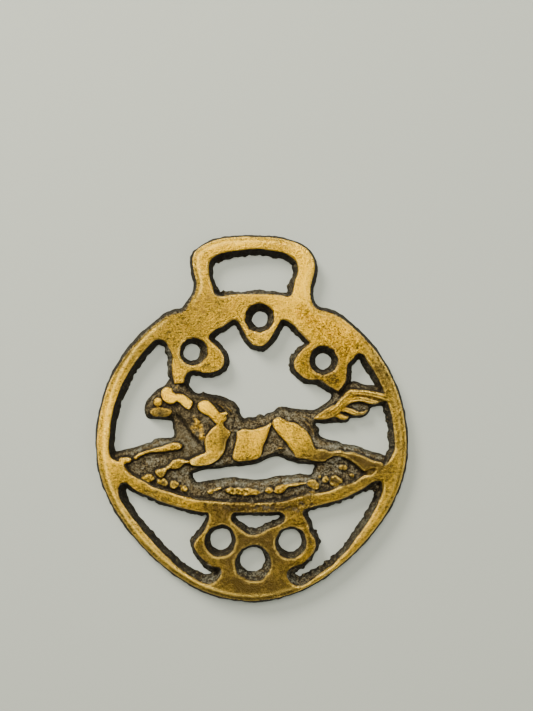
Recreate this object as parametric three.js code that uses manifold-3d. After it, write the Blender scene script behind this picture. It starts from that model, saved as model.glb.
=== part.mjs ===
// A horse brass: one casting, a pierced disc under a strap loop, with a galloping horse in relief.
// Millimetres. The plate lies on its back: X runs across it, Y up to the loop and Z out of the face.
import * as THREE from "three";
import { mergeVertices } from "three/addons/utils/BufferGeometryUtils.js";
import Module from "manifold-3d";

// Driving dimensions.
const thickness = 4; // from the flat back to the worn face
const discRadius = 37.6; // the face's outer edge, about discCentre
const discCentre = [-0.5, 0];
const upperFullness = 0.4; // how far the disc swells past its radius on the upper diagonals
const lowerSlack = 1.7; // and how far it falls short on the lower ones
const rimWidth = 2.7; // face width of the rim beside the horse
const neckAngles = [57.5, 122.6]; // bearings where the strap loop leaves the disc, in degrees

const outerDraft = 0.95; // how much further out the back edge lies than the face's
const wallDraft = 1.3; // the same for the wall of a window or slot
const bevelWidth = 1.2; // the worn bevel round the outer edge of the face
const bevelDrop = 0.45;

const ledgeHeight = 2; // the ground that the horse stands out from
const ledgeDraft = 0.5;
const bodyHeight = 2.75; // the horse's mass, under its worn high parts
const bodySpread = [0.3, -0.2]; // how far its outline lies outwards at the foot and at the top
const highFlank = 0.75; // how far a high part spreads at its foot
const pebbleFlank = 0.5;
const roundedFlank = [[0.55, 0.6], [0.9, 0.16], [1, -0.24]]; // [share of the height, share of the flank]
const rootDepth = 0.5; // how deep each raised part is rooted in the ledge

const outlineStep = 1.35; // spacing of the vertices along the plate's outlines
const reliefStep = 1; // and along the outlines of the horse
const pebbleStep = 0.8;
const cutterMargin = 0.5; // how far a cutter reaches past the face and the back
const foldSpan = 12; // how many vertices an inner corner may fold over when an outline moves
const sharpest = 0.35; // keeps a mitre at a sharp corner short: 0 is a blade edge, 2 a straight run
const holeSides = 32;

const wasm = await Module();
wasm.setup();

// Points on a circular arc between two bearings in degrees, both ends included.
function arc(x, y, radius, from, to, pieces) {
  return Array.from({ length: pieces + 1 }, (unused, i) => {
    const a = THREE.MathUtils.degToRad(from + ((to - from) * i) / pieces);
    return [x + radius * Math.cos(a), y + radius * Math.sin(a)];
  });
}

// Evenly spaced points along the smooth curve through the given ones.
function sampled(points, step, closed) {
  const through = points.map(([x, y]) => new THREE.Vector3(x, y, 0));
  const curve = new THREE.CatmullRomCurve3(through, closed, "centripetal");
  const count = Math.max(2, Math.round(curve.getLength() / step));
  return curve.getSpacedPoints(count).slice(0, count);
}

// A closed outline, counter-clockwise. Each stretch is smooth, and the stretches meet at corners.
function outline(stretches, step) {
  const points =
    stretches.length === 1
      ? sampled(stretches[0], step, true)
      : stretches.flatMap((stretch, i) => {
          const corner = stretches[(i + 1) % stretches.length][0];
          return sampled([...stretch, corner], step, false);
        });
  const flat = points.map((p) => new THREE.Vector2(p.x, p.y));
  return THREE.ShapeUtils.area(flat) < 0 ? flat.reverse() : flat;
}

// Where two segments cross, or null.
function crossing(a, b, c, d) {
  const r = b.clone().sub(a);
  const s = d.clone().sub(c);
  const across = r.cross(s);
  if (Math.abs(across) < 1e-9) return null;
  const gap = c.clone().sub(a);
  const t = gap.cross(s) / across;
  const u = gap.cross(r) / across;
  return t > 0 && t < 1 && u > 0 && u < 1 ? a.clone().addScaledVector(r, t) : null;
}

// The outline moved outwards. A stretch that would fold over itself closes to the point where it crosses.
function moved(points, distance) {
  const count = points.length;
  const at = (list, i) => list[(i + count) % count];
  const result = points.map((p, i) => {
    const before = p.clone().sub(at(points, i - 1)).normalize();
    const after = at(points, i + 1).clone().sub(p).normalize();
    const normal = new THREE.Vector2(before.y + after.y, -before.x - after.x);
    return p.clone().addScaledVector(normal, distance / Math.max(sharpest, 1 + before.dot(after)));
  });
  for (let i = 0; i < count; i++)
    for (let span = foldSpan; span > 0; span--) {
      const ends = [i, i + 1, i + 1 + span, i + 2 + span].map((j) => at(result, j));
      const meet = crossing(...ends);
      if (!meet) continue;
      for (let j = i + 1; j <= i + 1 + span; j++) at(result, j).copy(meet);
      break;
    }
  return result;
}

// A closed geometry's solid, with shared vertices merged and collapsed triangles dropped.
function solidOf(geometry) {
  geometry.deleteAttribute("normal");
  geometry.deleteAttribute("uv");
  const merged = mergeVertices(geometry, 1e-4);
  const kept = [];
  for (let i = 0; i < merged.index.count; i += 3) {
    const [a, b, c] = [0, 1, 2].map((k) => merged.index.getX(i + k));
    if (a !== b && b !== c && c !== a) kept.push(a, b, c);
  }
  const vertProperties = merged.attributes.position.array;
  const triVerts = new Uint32Array(kept);
  return new wasm.Manifold(new wasm.Mesh({ numProp: 3, vertProperties, triVerts }));
}

// A solid whose outline changes with height. Each section is [height, how far the outline lies outwards].
function drafted(points, sections) {
  const rings = sections.map(([z, distance]) =>
    moved(points, distance).map((p) => new THREE.Vector3(p.x, p.y, z)),
  );
  const corners = [];
  rings.slice(1).forEach((upper, level) => {
    const lower = rings[level];
    lower.forEach((p, i) => {
      const j = (i + 1) % lower.length;
      corners.push(p, lower[j], upper[j], p, upper[j], upper[i]);
    });
  });
  const cap = (ring, turned) => {
    const distinct = ring.filter((p, i) => p.distanceTo(ring[(i + 1) % ring.length]) > 1e-4);
    const flat = distinct.map((p) => new THREE.Vector2(p.x, p.y));
    for (const [a, b, c] of THREE.ShapeUtils.triangulateShape(flat, []))
      corners.push(...(turned ? [c, b, a] : [a, b, c]).map((i) => distinct[i]));
  };
  cap(rings[0], true);
  cap(rings.at(-1), false);
  return solidOf(new THREE.BufferGeometry().setFromPoints(corners));
}

// The tool for an opening: its outline is given at one height, and it widens by `slope` for each mm above.
function opening(points, height, slope, top) {
  const bottom = -cutterMargin;
  return drafted(points, [
    [bottom, (bottom - height) * slope],
    [top, (top - height) * slope],
  ]);
}

// The plate's own outline, with the strap loop on top.
function plateOutline() {
  const [x, y] = discCentre;
  const [right, left] = neckAngles;
  const disc = arc(0, 0, 1, right, left - 360, 46).map(([u, v]) => {
    const diagonal = (2 * u * v) ** 2;
    const r = discRadius + diagonal * (v > 0 ? upperFullness : -lowerSlack);
    return [x + r * u, y + r * v];
  });
  const loop = [
    [-17.3, 33.1], [-14.9, 36.5], [-14.1, 39.3], [-14.7, 42.6], [-14.9, 45.4], [-14.3, 47.2],
    [-12.6, 48.7], [-7.2, 50.6], [0.3, 51], [7.4, 50.35], [12, 48.6], [14.4, 46], [14.9, 43.2],
    [14.1, 39.6], [14, 36.6], [15.2, 33.6],
  ];
  return outline([[...disc, ...loop]], outlineStep);
}

const strapSlot = [
  [-11.2, 44], [-9.9, 46.1], [-4.9, 47.5], [0.5, 48.1], [5.8, 47.4], [9.4, 46.1], [10.9, 43.7],
  [10.3, 40.1], [9.6, 36.9], [8.2, 36], [3.4, 36.6], [-3.7, 36.6], [-8.6, 36.1], [-10, 37.3], [-11, 41],
];

// The round holes: centre, radius at the face, radius at the back, and how far the back centre is off.
const holes = [
  { at: [1.45, 30.85], face: 3.75, back: 1.9, lean: [0, 0] }, // under the loop
  { at: [-14.65, 22.7], face: 3.5, back: 1.9, lean: [-0.8, 0] }, // left lug
  { at: [17.1, 20.5], face: 3.7, back: 2, lean: [0, 0] }, // right lug
  { at: [-8.15, -23.2], face: 4, back: 2.6, lean: [0, 0] }, // lower trefoil
  { at: [8.9, -23.55], face: 3.95, back: 2.75, lean: [0, 0] },
  { at: [0, -28.6], face: 4.4, back: 2.9, lean: [-0.2, 0.5] },
];

function holeTool({ at, face, back, lean }) {
  const slope = (face - back) / thickness;
  const length = thickness + 2 * cutterMargin;
  const top = face + slope * cutterMargin;
  const cone = new THREE.CylinderGeometry(top, top - slope * length, length, holeSides);
  cone.rotateX(Math.PI / 2).translate(0, 0, length / 2 - cutterMargin - thickness);
  const [sx, sy] = lean.map((offset) => -offset / thickness);
  cone.applyMatrix4(new THREE.Matrix4().makeShear(0, 0, 0, 0, sx, sy));
  return solidOf(cone.translate(at[0], at[1], thickness));
}

// The windows of the plate, at the face. The panel is the big one that the horse fills.
const rimInside = discRadius - rimWidth;
const rimArc = (from, to, pieces) => arc(...discCentre, rimInside, from, to, pieces);
const panel = [
  [
    [-19.2, 15.1], [-19.8, 18.4], [-19.7, 21.4], [-21.1, 24.7], [-22.8, 25.8], ...rimArc(133, 182, 7),
    [-34.7, -3.3], [-33.3, -4.1], [-31.9, -4.4], [-30.6, -6.6], [-28.5, -8.05], [-24.8, -10],
    [-20.7, -11.45], [-16.4, -12.8], [-11.9, -13.6], [-5, -14.1], [3.6, -14.1], [7.9, -13.7],
    [12.3, -12.4], [18.7, -11.2], [23.3, -9.6], [26, -8.05], [28.7, -7.25], [30.3, -5.6], [32.4, -4.7],
    [33.9, -2.6], ...rimArc(0, 36, 6), [26.2, 22.5], [24.2, 21.1], [22.7, 19], [22.4, 16],
  ],
  [[20.6, 13.2], [18.5, 14.3], [15.9, 15.9], [12.4, 16.4], [10.2, 18.6], [10.3, 21.2], [12, 23.1]],
  [
    [14.1, 24.8], [11.3, 27.7], [8.5, 30.3], [6.7, 30.5], [5, 27.8], [3, 24.9], [1.3, 24.1],
    [-0.6, 24.9], [-2.3, 27.6], [-3.8, 30.3], [-5.5, 30.5], [-7.8, 28.9], [-10.2, 27.4], [-11, 26],
    [-9.8, 24.5], [-7.7, 22.1], [-7.4, 19.7], [-8.8, 18.1], [-11.7, 17.6], [-15, 18.2], [-16.8, 16.8],
  ],
];
const leftCrescent = [
  [
    [-11.1, -16.3], [-10.7, -17.1], [-11.1, -18.9], [-12.2, -21.2], [-14.2, -23.9], [-13.8, -25.8],
    [-11.4, -28.3], [-8.6, -29.5], [-7.7, -31], [-8.9, -32.9], [-11.2, -33.7], [-13.9, -32.7],
    [-18.7, -29.4], [-23.2, -24.9], [-27.8, -19.75], [-31.4, -14.8], [-33, -11.2], [-32.3, -9.3],
    [-30.6, -9.3], [-27.8, -11.3], [-23.2, -13.3], [-18.7, -14.75], [-14.1, -15.9],
  ],
];
const rightCrescent = [
  [
    [12.3, -15.5], [16.2, -14.4], [20.8, -13.2], [25.3, -11.1], [28.8, -8.9], [30.8, -8.5],
    [31.6, -10.4], [30.5, -13.7], [27.8, -18.7], [24.4, -23.3], [21, -27.4], [15.1, -31.9],
    [11.7, -34.2], [9.3, -33.8], [8, -31.7], [8.7, -29.7], [10.7, -28.9], [12.6, -27.9], [14.4, -25.8],
    [14.8, -23.6], [13.6, -21.1], [13, -18.8], [11.8, -16.6],
  ],
];
const lens = [
  [
    [-5.5, -18.4], [-5.4, -16.8], [-3.6, -16.2], [1, -16.2], [6.2, -16.2], [7.7, -17.3], [7.2, -18.8],
    [3.6, -20.4], [0.6, -21.8], [-1.4, -21.7], [-3.8, -20.1],
  ],
];

// The windows of the ledge, at the back. Their outer sides reach into the rim, which keeps its own wall.
const ledgeWindows = {
  beforeHead: [
    [
      [-34.4, -1.6], [-30.8, -0.9], [-27, 0.1], [-25.4, 0.5], [-24.4, 1.3], [-21.7, 1.5], [-19.9, 2],
      [-19.85, 4], [-20.3, 5.8], [-22.7, 5.9], [-25.3, 6.1], [-26.9, 7.1], [-27, 9.7], [-25.6, 11.8],
      [-22.6, 14.1], [-20.8, 16.4], [-19.9, 18.6], [-19.7, 21.4], [-21.1, 24.7], [-22.8, 25.8],
      ...rimArc(133, 180, 7),
    ],
  ],
  overBack: [
    [
      [-16.2, 14.9], [-14.8, 13.1], [-11.7, 12.6], [-8, 11.8], [-4.8, 10.5], [-3.3, 8.6], [-2.5, 6.6],
      [0.3, 6.8], [2.3, 7.2], [4.4, 8], [6.3, 9.1], [10.6, 8.8], [15, 8.8], [17.4, 9.9], [19.1, 11.5],
      [19, 13.6], [15.9, 15.9], [12.4, 16.4], [10.2, 18.6], [10.3, 21.2], [12, 23.1], [13.6, 24.8],
      [11.3, 27.7], [8.5, 30.3], [6.7, 30.5], [5, 27.8], [3, 24.9], [1.3, 24.1], [-0.6, 24.9],
      [-2.3, 27.6], [-3.8, 30.3], [-5.5, 30.5], [-7.8, 28.9], [-10.2, 27.4], [-11, 26], [-9.8, 24.5],
      [-7.7, 22.1], [-7.4, 19.7], [-8.8, 18.1], [-11.7, 17.6], [-15, 18.2], [-16.6, 16.6],
    ],
  ],
  overTail: [
    [
      [22.8, 15.4], [25, 15.5], [27.2, 14.8], [29.3, 14.6], [31.3, 14.7], ...rimArc(27, 36, 2),
      [26.2, 22.5], [24.2, 21.1], [22.7, 19],
    ],
  ],
  underTail: [
    [
      [15.2, 5], [16.3, 3.9], [16.3, 2.5], [17.3, 1.6], [20.6, 0.9], [21.9, 0.1], [26.8, -0.9],
      [30.8, -2.2], [33.3, -2.8], ...rimArc(-1, 14.5, 3), [30.3, 9.2], [28.9, 8.8], [28.2, 7.7],
      [25.6, 6.6], [23.8, 6.4], [22.8, 5.5], [18, 5.1],
    ],
  ],
  underBelly: [
    [
      [-15.1, -7.2], [-11.9, -6.2], [-3.1, -5.4], [0.7, -4.75], [2.7, -3.9], [5.2, -3.2], [8.6, -4.1],
      [14.8, -5.2], [14.3, -7.2], [11.2, -7.2], [6.8, -7.5], [3.2, -8.4], [-0.5, -8.6], [-6.1, -8.1],
      [-10, -8.7], [-13.9, -9.2],
    ],
  ],
};

// The horse's mass: head, neck, trunk and hips in one low layer.
const horseBody = [
  [
    [-26.3, 8.4], [-25.4, 10.8], [-22.4, 13.3], [-20.2, 15], [-17.2, 14.2], [-14.3, 12], [-9.8, 11.2],
    [-6.4, 9.8], [-4.4, 7.8], [-2.5, 5.4], [0.4, 5.7], [3, 6.6], [6, 7.9], [10.4, 7.8], [14.4, 7.6],
    [16.6, 7.6], [15, 5.8], [14.9, 3.4], [16, 0.9], [20.4, -0.3], [22, -3.4], [16, -4.5], [10.3, -3.7],
    [7, -2.4], [4, -2.6], [0, -4.1], [-5, -4.6], [-12, -5.3], [-15.4, -5], [-12.9, -1.2], [-15.4, 3.1],
    [-18.2, 6.8], [-22, 6.8], [-25.2, 7.1],
  ],
];

// The worn high parts, by the outline of each top. `rise` is the height of the top above the back.
const highParts = [
  {
    rise: 3.85, // ear and cheek
    top: [
      [-22.4, 12.9], [-21.3, 13.9], [-20.1, 13.6], [-19.2, 12.3], [-16.9, 11.8], [-15, 10.4],
      [-15.3, 9.2], [-16.3, 9], [-18.2, 10.5], [-20.6, 10.1], [-22, 11.1],
    ],
  },
  {
    rise: 3.95, // neck, shoulder and near forearm
    top: [
      [-13.6, 9.3], [-12.4, 10.5], [-10.6, 10.3], [-8.6, 8], [-6.7, 7.9], [-6.8, 6.5], [-7.2, 4.6],
      [-5.8, 3.1], [-6.4, 1.6], [-7, -0.9], [-8.3, -3.1], [-10.6, -4.5], [-14.6, -4.8], [-15.4, -3.8],
      [-11.7, -2], [-11.8, 0.7], [-10.8, 3.2], [-9.1, 4.9], [-10.8, 6.9], [-12.8, 7.9],
    ],
  },
  {
    rise: 3.9, // barrel
    top: [
      [-3.9, 3], [-2.2, 3.7], [1.7, 4.1], [4.1, 5.1], [3.7, 3.6], [2.4, 0.1], [1.4, -2.8], [-1.2, -3.8],
      [-4.1, -3.9], [-4.9, -2.8], [-4.4, -0.2],
    ],
  },
  {
    rise: 3.98, // haunch and hind leg, out to the rim
    top: [
      [4.7, 5], [5.8, 6.5], [8.4, 5.5], [11, 4.8], [13.6, 2.2], [15.1, -1.1], [18.6, -1.7],
      [23.9, -1.9], [28.9, -3.8], [31.5, -4.6], [31, -6.4], [28.3, -5.9], [26.6, -6.1], [23.9, -4],
      [20.6, -2.6], [16.9, -3.8], [13, -3.4], [10.3, -3], [8.8, -0.6], [6, 2.8],
    ],
  },
  { rise: 3.6, top: [[-20.6, -5], [-18.8, -3.6], [-16.6, -3.9], [-18.1, -5.5], [-19.8, -5.8]] }, // knee
  { rise: 3.6, top: [[-23.8, -6.3], [-21.3, -5.8], [-21.7, -7.4], [-23.3, -7.8]] }, // near hoof
  {
    rise: 3.5, // far foreleg, out to the rim
    top: [
      [-32.4, -3.5], [-30.2, -3.1], [-28, -2.3], [-22.3, -0.6], [-19.8, 0.2], [-17.8, -0.3],
      [-19.2, -1.2], [-24.2, -1.8], [-27.4, -2.9], [-29, -3.9], [-32, -4.6],
    ],
  },
  { rise: 3.1, top: [[-24.6, 8.1], [-22.8, 8.8], [-20.9, 8.3], [-21.4, 7.4], [-23.8, 7.3]] }, // muzzle
  { rise: 3.6, top: arc(-23.4, 10.4, 0.9, 0, 300, 5) }, // eye
  {
    rise: 3.9, // upper lock of the tail, out to the rim
    top: [
      [14.9, 6.5], [17, 8], [20.1, 9.4], [22, 12], [24.2, 13.2], [29.3, 12.8], [32.6, 11.9],
      [33.2, 10.6], [30.5, 11.2], [27.4, 11.7], [24.3, 11.9], [22.6, 10.9], [21, 8.6], [18.2, 6.7],
    ],
  },
  {
    rise: 3.6, // second lock
    top: [[21.4, 10.2], [23.5, 11.2], [26.6, 11.4], [30, 10.3], [28.5, 9.9], [25.5, 10.7], [22.4, 9.9]],
  },
  {
    rise: 3.45, // third lock
    top: [[20.8, 9.1], [24.5, 8.2], [27.6, 8.3], [26.2, 7.4], [23.4, 7.6], [20.9, 8.3]],
  },
  {
    rise: 3.3, // fourth lock
    top: [[19.3, 7.9], [20.8, 7.5], [22.9, 6.4], [20.9, 6.4], [18.8, 6.9]],
  },
];

// Low lumps of ground under the horse.
const pebbles = [
  { rise: 2.9, top: [[-27.3, -8], [-25.7, -7.4], [-24.5, -8.2], [-25.6, -9]] },
  { rise: 2.9, top: arc(-19.3, -9.5, 1, 0, 300, 5) },
  { rise: 2.7, top: arc(-16.8, -10.7, 0.6, 0, 288, 4) },
  {
    rise: 3, // flat stone
    top: [[-6.9, -10.8], [-5, -10.3], [-3, -10.8], [1.6, -11.2], [2.2, -12], [-2.4, -12.2], [-6, -11.8]],
  },
  { rise: 2.8, top: [[2.9, -11.4], [3.6, -10.5], [4.6, -11], [4, -11.9]] },
  {
    rise: 3, // long stone
    top: [[5.1, -11.7], [6, -9.9], [9.9, -9.3], [12.6, -9.3], [10, -10.2], [7.4, -11.4]],
  },
  { rise: 2.9, top: [[13.2, -9.6], [14.6, -8.6], [15.9, -9.8], [15, -11.6], [13.4, -11.4]] },
  { rise: 2.8, top: [[16.8, -8.9], [17.6, -7.6], [18.2, -8.7]] },
  { rise: 3, top: [[18.8, -8.9], [20, -7.5], [21.7, -8.9], [20, -10]] },
  { rise: 2.9, top: arc(21.7, -5.7, 0.8, 0, 300, 5) },
  { rise: 2.8, top: arc(23.9, -7.4, 0.55, 0, 288, 4) },
];

// A raised part with rounded shoulders, standing on the ledge and rooted in it.
function raised({ rise, top }, flank, step) {
  const height = rise - ledgeHeight;
  return drafted(outline([top], step), [
    [ledgeHeight - rootDepth, flank],
    ...roundedFlank.map(([up, out]) => [ledgeHeight + up * height, out * flank]),
  ]);
}

// The pierced plate with its strap loop, without the horse.
function makePlate() {
  const plate = drafted(plateOutline(), [
    [0, outerDraft],
    [thickness - bevelDrop, 0],
    [thickness, -bevelWidth],
  ]);
  const slope = wallDraft / thickness;
  const windows = [[strapSlot], panel, leftCrescent, rightCrescent, lens];
  const tools = windows.map((window) =>
    opening(outline(window, outlineStep), thickness, slope, thickness + cutterMargin),
  );
  return plate.subtract(wasm.Manifold.union([...tools, ...holes.map(holeTool)]));
}

// The ground that carries the horse, pierced round its outline.
function makeLedge() {
  const ledge = drafted(outline(panel, outlineStep), [
    [0, 0],
    [ledgeHeight, 0],
  ]);
  const slope = ledgeDraft / ledgeHeight;
  const tools = Object.values(ledgeWindows).map((window) =>
    opening(outline(window, outlineStep), 0, slope, ledgeHeight + cutterMargin),
  );
  return ledge.subtract(wasm.Manifold.union(tools));
}

// The horse's mass with its high parts on it, and the pebbles under it.
function makeRelief() {
  const body = drafted(outline(horseBody, reliefStep), [
    [ledgeHeight - rootDepth, bodySpread[0]],
    [bodyHeight, bodySpread[1]],
  ]);
  const high = highParts.map((part) => raised(part, highFlank, reliefStep));
  const low = pebbles.map((part) => raised(part, pebbleFlank, pebbleStep));
  return wasm.Manifold.union([body, ...high, ...low]);
}

const casting = wasm.Manifold.union([makePlate(), makeLedge(), makeRelief()]);
const { numProp, vertProperties, triVerts } = casting.getMesh();
const geometry = new THREE.BufferGeometry();
geometry.setAttribute("position", new THREE.BufferAttribute(vertProperties.slice(), numProp));
geometry.setIndex(new THREE.BufferAttribute(triVerts.slice(), 1));
geometry.computeVertexNormals();

const wornBrass = new THREE.MeshStandardMaterial({ color: 0xb08a3c, metalness: 1, roughness: 0.42 });
const horseBrass = new THREE.Mesh(geometry, wornBrass);
horseBrass.name = "horse_brass";

// The origin is the middle of the plate's bounding box, on its back.
geometry.computeBoundingBox();
const middle = geometry.boundingBox.getCenter(new THREE.Vector3());
horseBrass.position.set(-middle.x, -middle.y, 0);

const part = new THREE.Group();
part.add(horseBrass);
export default part;
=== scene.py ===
# A worn horse brass, lying face up on a pale floor.
# Its shape is worked out in millimetres as heights over a fine grid: X across the plate, Y up to the loop.
import math

import bpy
import numpy as np
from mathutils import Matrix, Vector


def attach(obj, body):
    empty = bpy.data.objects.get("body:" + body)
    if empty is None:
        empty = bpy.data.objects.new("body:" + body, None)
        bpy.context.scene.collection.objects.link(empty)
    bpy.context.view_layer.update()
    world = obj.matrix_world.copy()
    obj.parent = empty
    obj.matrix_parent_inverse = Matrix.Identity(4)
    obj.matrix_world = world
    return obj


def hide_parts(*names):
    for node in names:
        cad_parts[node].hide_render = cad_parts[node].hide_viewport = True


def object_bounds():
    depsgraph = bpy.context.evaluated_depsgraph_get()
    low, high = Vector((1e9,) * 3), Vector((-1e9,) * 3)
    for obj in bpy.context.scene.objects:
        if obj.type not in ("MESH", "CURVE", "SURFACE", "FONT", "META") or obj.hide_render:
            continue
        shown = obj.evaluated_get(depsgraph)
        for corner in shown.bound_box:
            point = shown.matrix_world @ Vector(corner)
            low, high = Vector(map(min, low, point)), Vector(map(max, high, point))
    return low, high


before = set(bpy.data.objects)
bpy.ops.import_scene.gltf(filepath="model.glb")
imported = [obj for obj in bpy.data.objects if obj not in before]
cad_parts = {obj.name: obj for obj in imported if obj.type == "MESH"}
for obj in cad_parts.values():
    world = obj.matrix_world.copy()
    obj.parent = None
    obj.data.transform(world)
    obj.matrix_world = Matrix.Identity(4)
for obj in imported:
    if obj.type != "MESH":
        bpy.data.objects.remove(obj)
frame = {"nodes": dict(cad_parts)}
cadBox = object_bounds()
print("frame loaded:", ", ".join(frame["nodes"]))

plate = {
    "thickness": 4.0,  # from the flat back to the worn face
    "discRadius": 37.6,
    "discCentre": (-0.5, 0.0),
    "upperFullness": 0.4,  # how far the disc swells on the upper diagonals
    "lowerSlack": 1.7,  # and falls short on the lower ones
    "rimWidth": 2.7,
    "neckAngles": (57.5, 122.6),  # where the strap loop leaves the disc, in degrees
    "outerDraft": 0.95,  # how much further out the back edge lies than the face's
    "wallDraft": 1.3,  # the same for the wall of a window
    "bevelWidth": 1.2,
    "bevelDrop": 0.45,
    "ledgeHeight": 2.0,  # the ground that the horse stands out from
    "ledgeSlope": 2.3,  # of the ledge's edges
    "bodyHeight": 2.75,
    "middle": (-0.5003, 6.7103),  # the plate's middle, which is the frame's origin
    "cell": 0.16,  # spacing of the grid
    "left": -39.7, "right": 38.8, "bottom": -39.2, "top": 52.6,
}
thickness = plate["thickness"]
ledgeHeight = plate["ledgeHeight"]
xs = np.arange(plate["left"], plate["right"], plate["cell"])
ys = np.arange(plate["bottom"], plate["top"], plate["cell"])
gridX, gridY = np.meshgrid(xs, ys)


def arc(x, y, radius, start, stop, pieces):
    turn = np.radians(np.linspace(start, stop, pieces + 1))
    return [(x + radius * math.cos(a), y + radius * math.sin(a)) for a in turn]


def smoothCurve(points, closed, step):
    # a centripetal curve through the points, which never loops at a tight bend
    p = np.array(points, float)
    ends = (p[-1:], p[:2]) if closed else (2 * p[:1] - p[1:2], 2 * p[-1:] - p[-2:-1])
    p = np.vstack([ends[0], p, ends[1]])
    made = []
    for a, b, c, d in zip(p, p[1:], p[2:], p[3:]):
        ab, bc, cd = (max(np.linalg.norm(v) ** 0.5, 1e-6) for v in (b - a, c - b, d - c))
        count = max(2, math.ceil(np.linalg.norm(c - b) / step))
        t = (np.arange(count) / count)[:, None]
        slopeB = ((b - a) / ab - (c - a) / (ab + bc) + (c - b) / bc) * bc
        slopeC = ((c - b) / bc - (d - b) / (bc + cd) + (d - c) / cd) * bc
        made.append(
            b
            + slopeB * t
            + (3 * (c - b) - 2 * slopeB - slopeC) * t**2
            + (2 * (b - c) + slopeB + slopeC) * t**3
        )
    if not closed:
        made.append(p[-2:-1])
    return np.vstack(made)


def outline(stretches, step=0.45):
    # each stretch is smooth, and the stretches meet at corners
    if len(stretches) == 1:
        return smoothCurve(stretches[0], True, step)
    rest = stretches[1:] + stretches[:1]
    return np.vstack([smoothCurve([*s, n[0]], False, step)[:-1] for s, n in zip(stretches, rest)])


def lineDistance(points, reach, closed):
    # distance to a run of straight pieces, measured only within reach of it
    found = np.full(gridX.shape, float(reach))
    stops = np.roll(points, -1, axis=0) if closed else points[1:]
    for (ax, ay), (bx, by) in zip(points, stops):
        columns = slice(*np.searchsorted(xs, (min(ax, bx) - reach, max(ax, bx) + reach)))
        rows = slice(*np.searchsorted(ys, (min(ay, by) - reach, max(ay, by) + reach)))
        x, y = xs[columns][None, :] - ax, ys[rows][:, None] - ay
        ux, uy = bx - ax, by - ay
        along = np.clip((x * ux + y * uy) / max(ux * ux + uy * uy, 1e-9), 0, 1)
        away = np.hypot(x - along * ux, y - along * uy)
        found[rows, columns] = np.minimum(found[rows, columns], away)
    return found


def inside(points):
    # even-odd filling of a closed outline, row by row
    flips = np.zeros((len(ys), len(xs) + 1), int)
    for (ax, ay), (bx, by) in zip(points, np.roll(points, -1, axis=0)):
        low, high = sorted((ay, by))
        rows = np.arange(*np.searchsorted(ys, (low, high)))
        if len(rows):
            cross = ax + (ys[rows] - ay) * (bx - ax) / (by - ay)
            np.add.at(flips, (rows, np.searchsorted(xs, cross)), 1)
    return np.cumsum(flips, axis=1)[:, :-1] % 2 == 1


def field(points, reach=3.0):
    # distance from a closed outline: positive inside it, negative outside
    away = lineDistance(points, reach, True)
    return np.where(inside(points), away, -away)


def roughness(size, seed):
    # a smooth random field with waves of about `size` mm, near -1 to 1
    def weights(coords):
        t = (coords - coords[0]) / size
        first = np.floor(t).astype(int)
        f = t - first
        made = np.zeros((len(coords), first[-1] + 4))
        spline = ((1 - f) ** 3, 3 * f**3 - 6 * f**2 + 4, -3 * f**3 + 3 * f**2 + 3 * f + 1, f**3)
        for k, w in enumerate(spline):
            made[np.arange(len(coords)), first + k] = w / 6
        return made

    down, across = weights(ys), weights(xs)
    made = down @ np.random.default_rng(seed).normal(size=(down.shape[1], across.shape[1])) @ across.T
    return made / (2 * made.std())


def blurred(values, size):
    # a Gaussian blur, `size` mm wide
    def weights(coords):
        w = np.exp(-(((coords[:, None] - coords[None, :]) / size) ** 2))
        return w / w.sum(axis=1, keepdims=True)

    return weights(ys) @ values @ weights(xs).T


def ramp(values, start, stop):
    t = np.clip((values - start) / (stop - start), 0, 1)
    return t * t * (3 - 2 * t)


def lower(a, b, soft):
    # the lower of two surfaces, rounded where they cross
    near = np.maximum(soft - np.abs(a - b), 0) / soft
    return np.minimum(a, b) - near * near * soft / 4


def higher(a, b, soft):
    return -lower(-a, -b, soft)


def around(x, y, radius):
    return np.exp(-((gridX - x) ** 2 + (gridY - y) ** 2) / radius**2)


def plateOutline():
    x, y = plate["discCentre"]
    right, left = plate["neckAngles"]
    disc = []
    for u, v in arc(0, 0, 1, right, left - 360, 46):
        swell = plate["upperFullness"] if v > 0 else -plate["lowerSlack"]
        r = plate["discRadius"] + (2 * u * v) ** 2 * swell
        disc.append((x + r * u, y + r * v))
    loop = [
        (-17.3, 33.1), (-15.9, 35.3), (-14.6, 37.2), (-14.1, 39.3), (-14.7, 42.6), (-14.95, 45.4),
        (-14.4, 47.1), (-12.8, 48.5), (-10.5, 49.7), (-7.2, 50.6), (-3, 50.95), (0.5, 51), (4, 50.85),
        (7.4, 50.35), (10.6, 49.3), (13, 47.8), (14.5, 45.7), (14.9, 43.4), (14.6, 41.5), (14, 39.2),
        (13.9, 37.4), (14.2, 35.6), (15.1, 33.7),
    ]
    return outline([[*disc, *loop]])


strapSlot = [[
    (-11.2, 44), (-10.8, 45.2), (-9.9, 46.1), (-8.4, 46.85), (-4.9, 47.5), (-0.4, 48.05), (2.2, 48.05),
    (5.8, 47.4), (7.8, 46.95), (9.4, 46.1), (10.6, 44.9), (10.95, 43.5), (10.9, 41.9), (10.3, 40),
    (9.85, 38), (9.3, 36.4), (8.2, 36), (6.8, 36.3), (3.4, 36.6), (-3.7, 36.6), (-6.6, 36.3),
    (-8.7, 36.1), (-9.8, 36.8), (-10.2, 38.6), (-10.9, 40.6), (-11.2, 42.4),
]]
rimInside = plate["discRadius"] - plate["rimWidth"]


def rimArc(start, stop, pieces):
    return arc(*plate["discCentre"], rimInside, start, stop, pieces)


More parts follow.
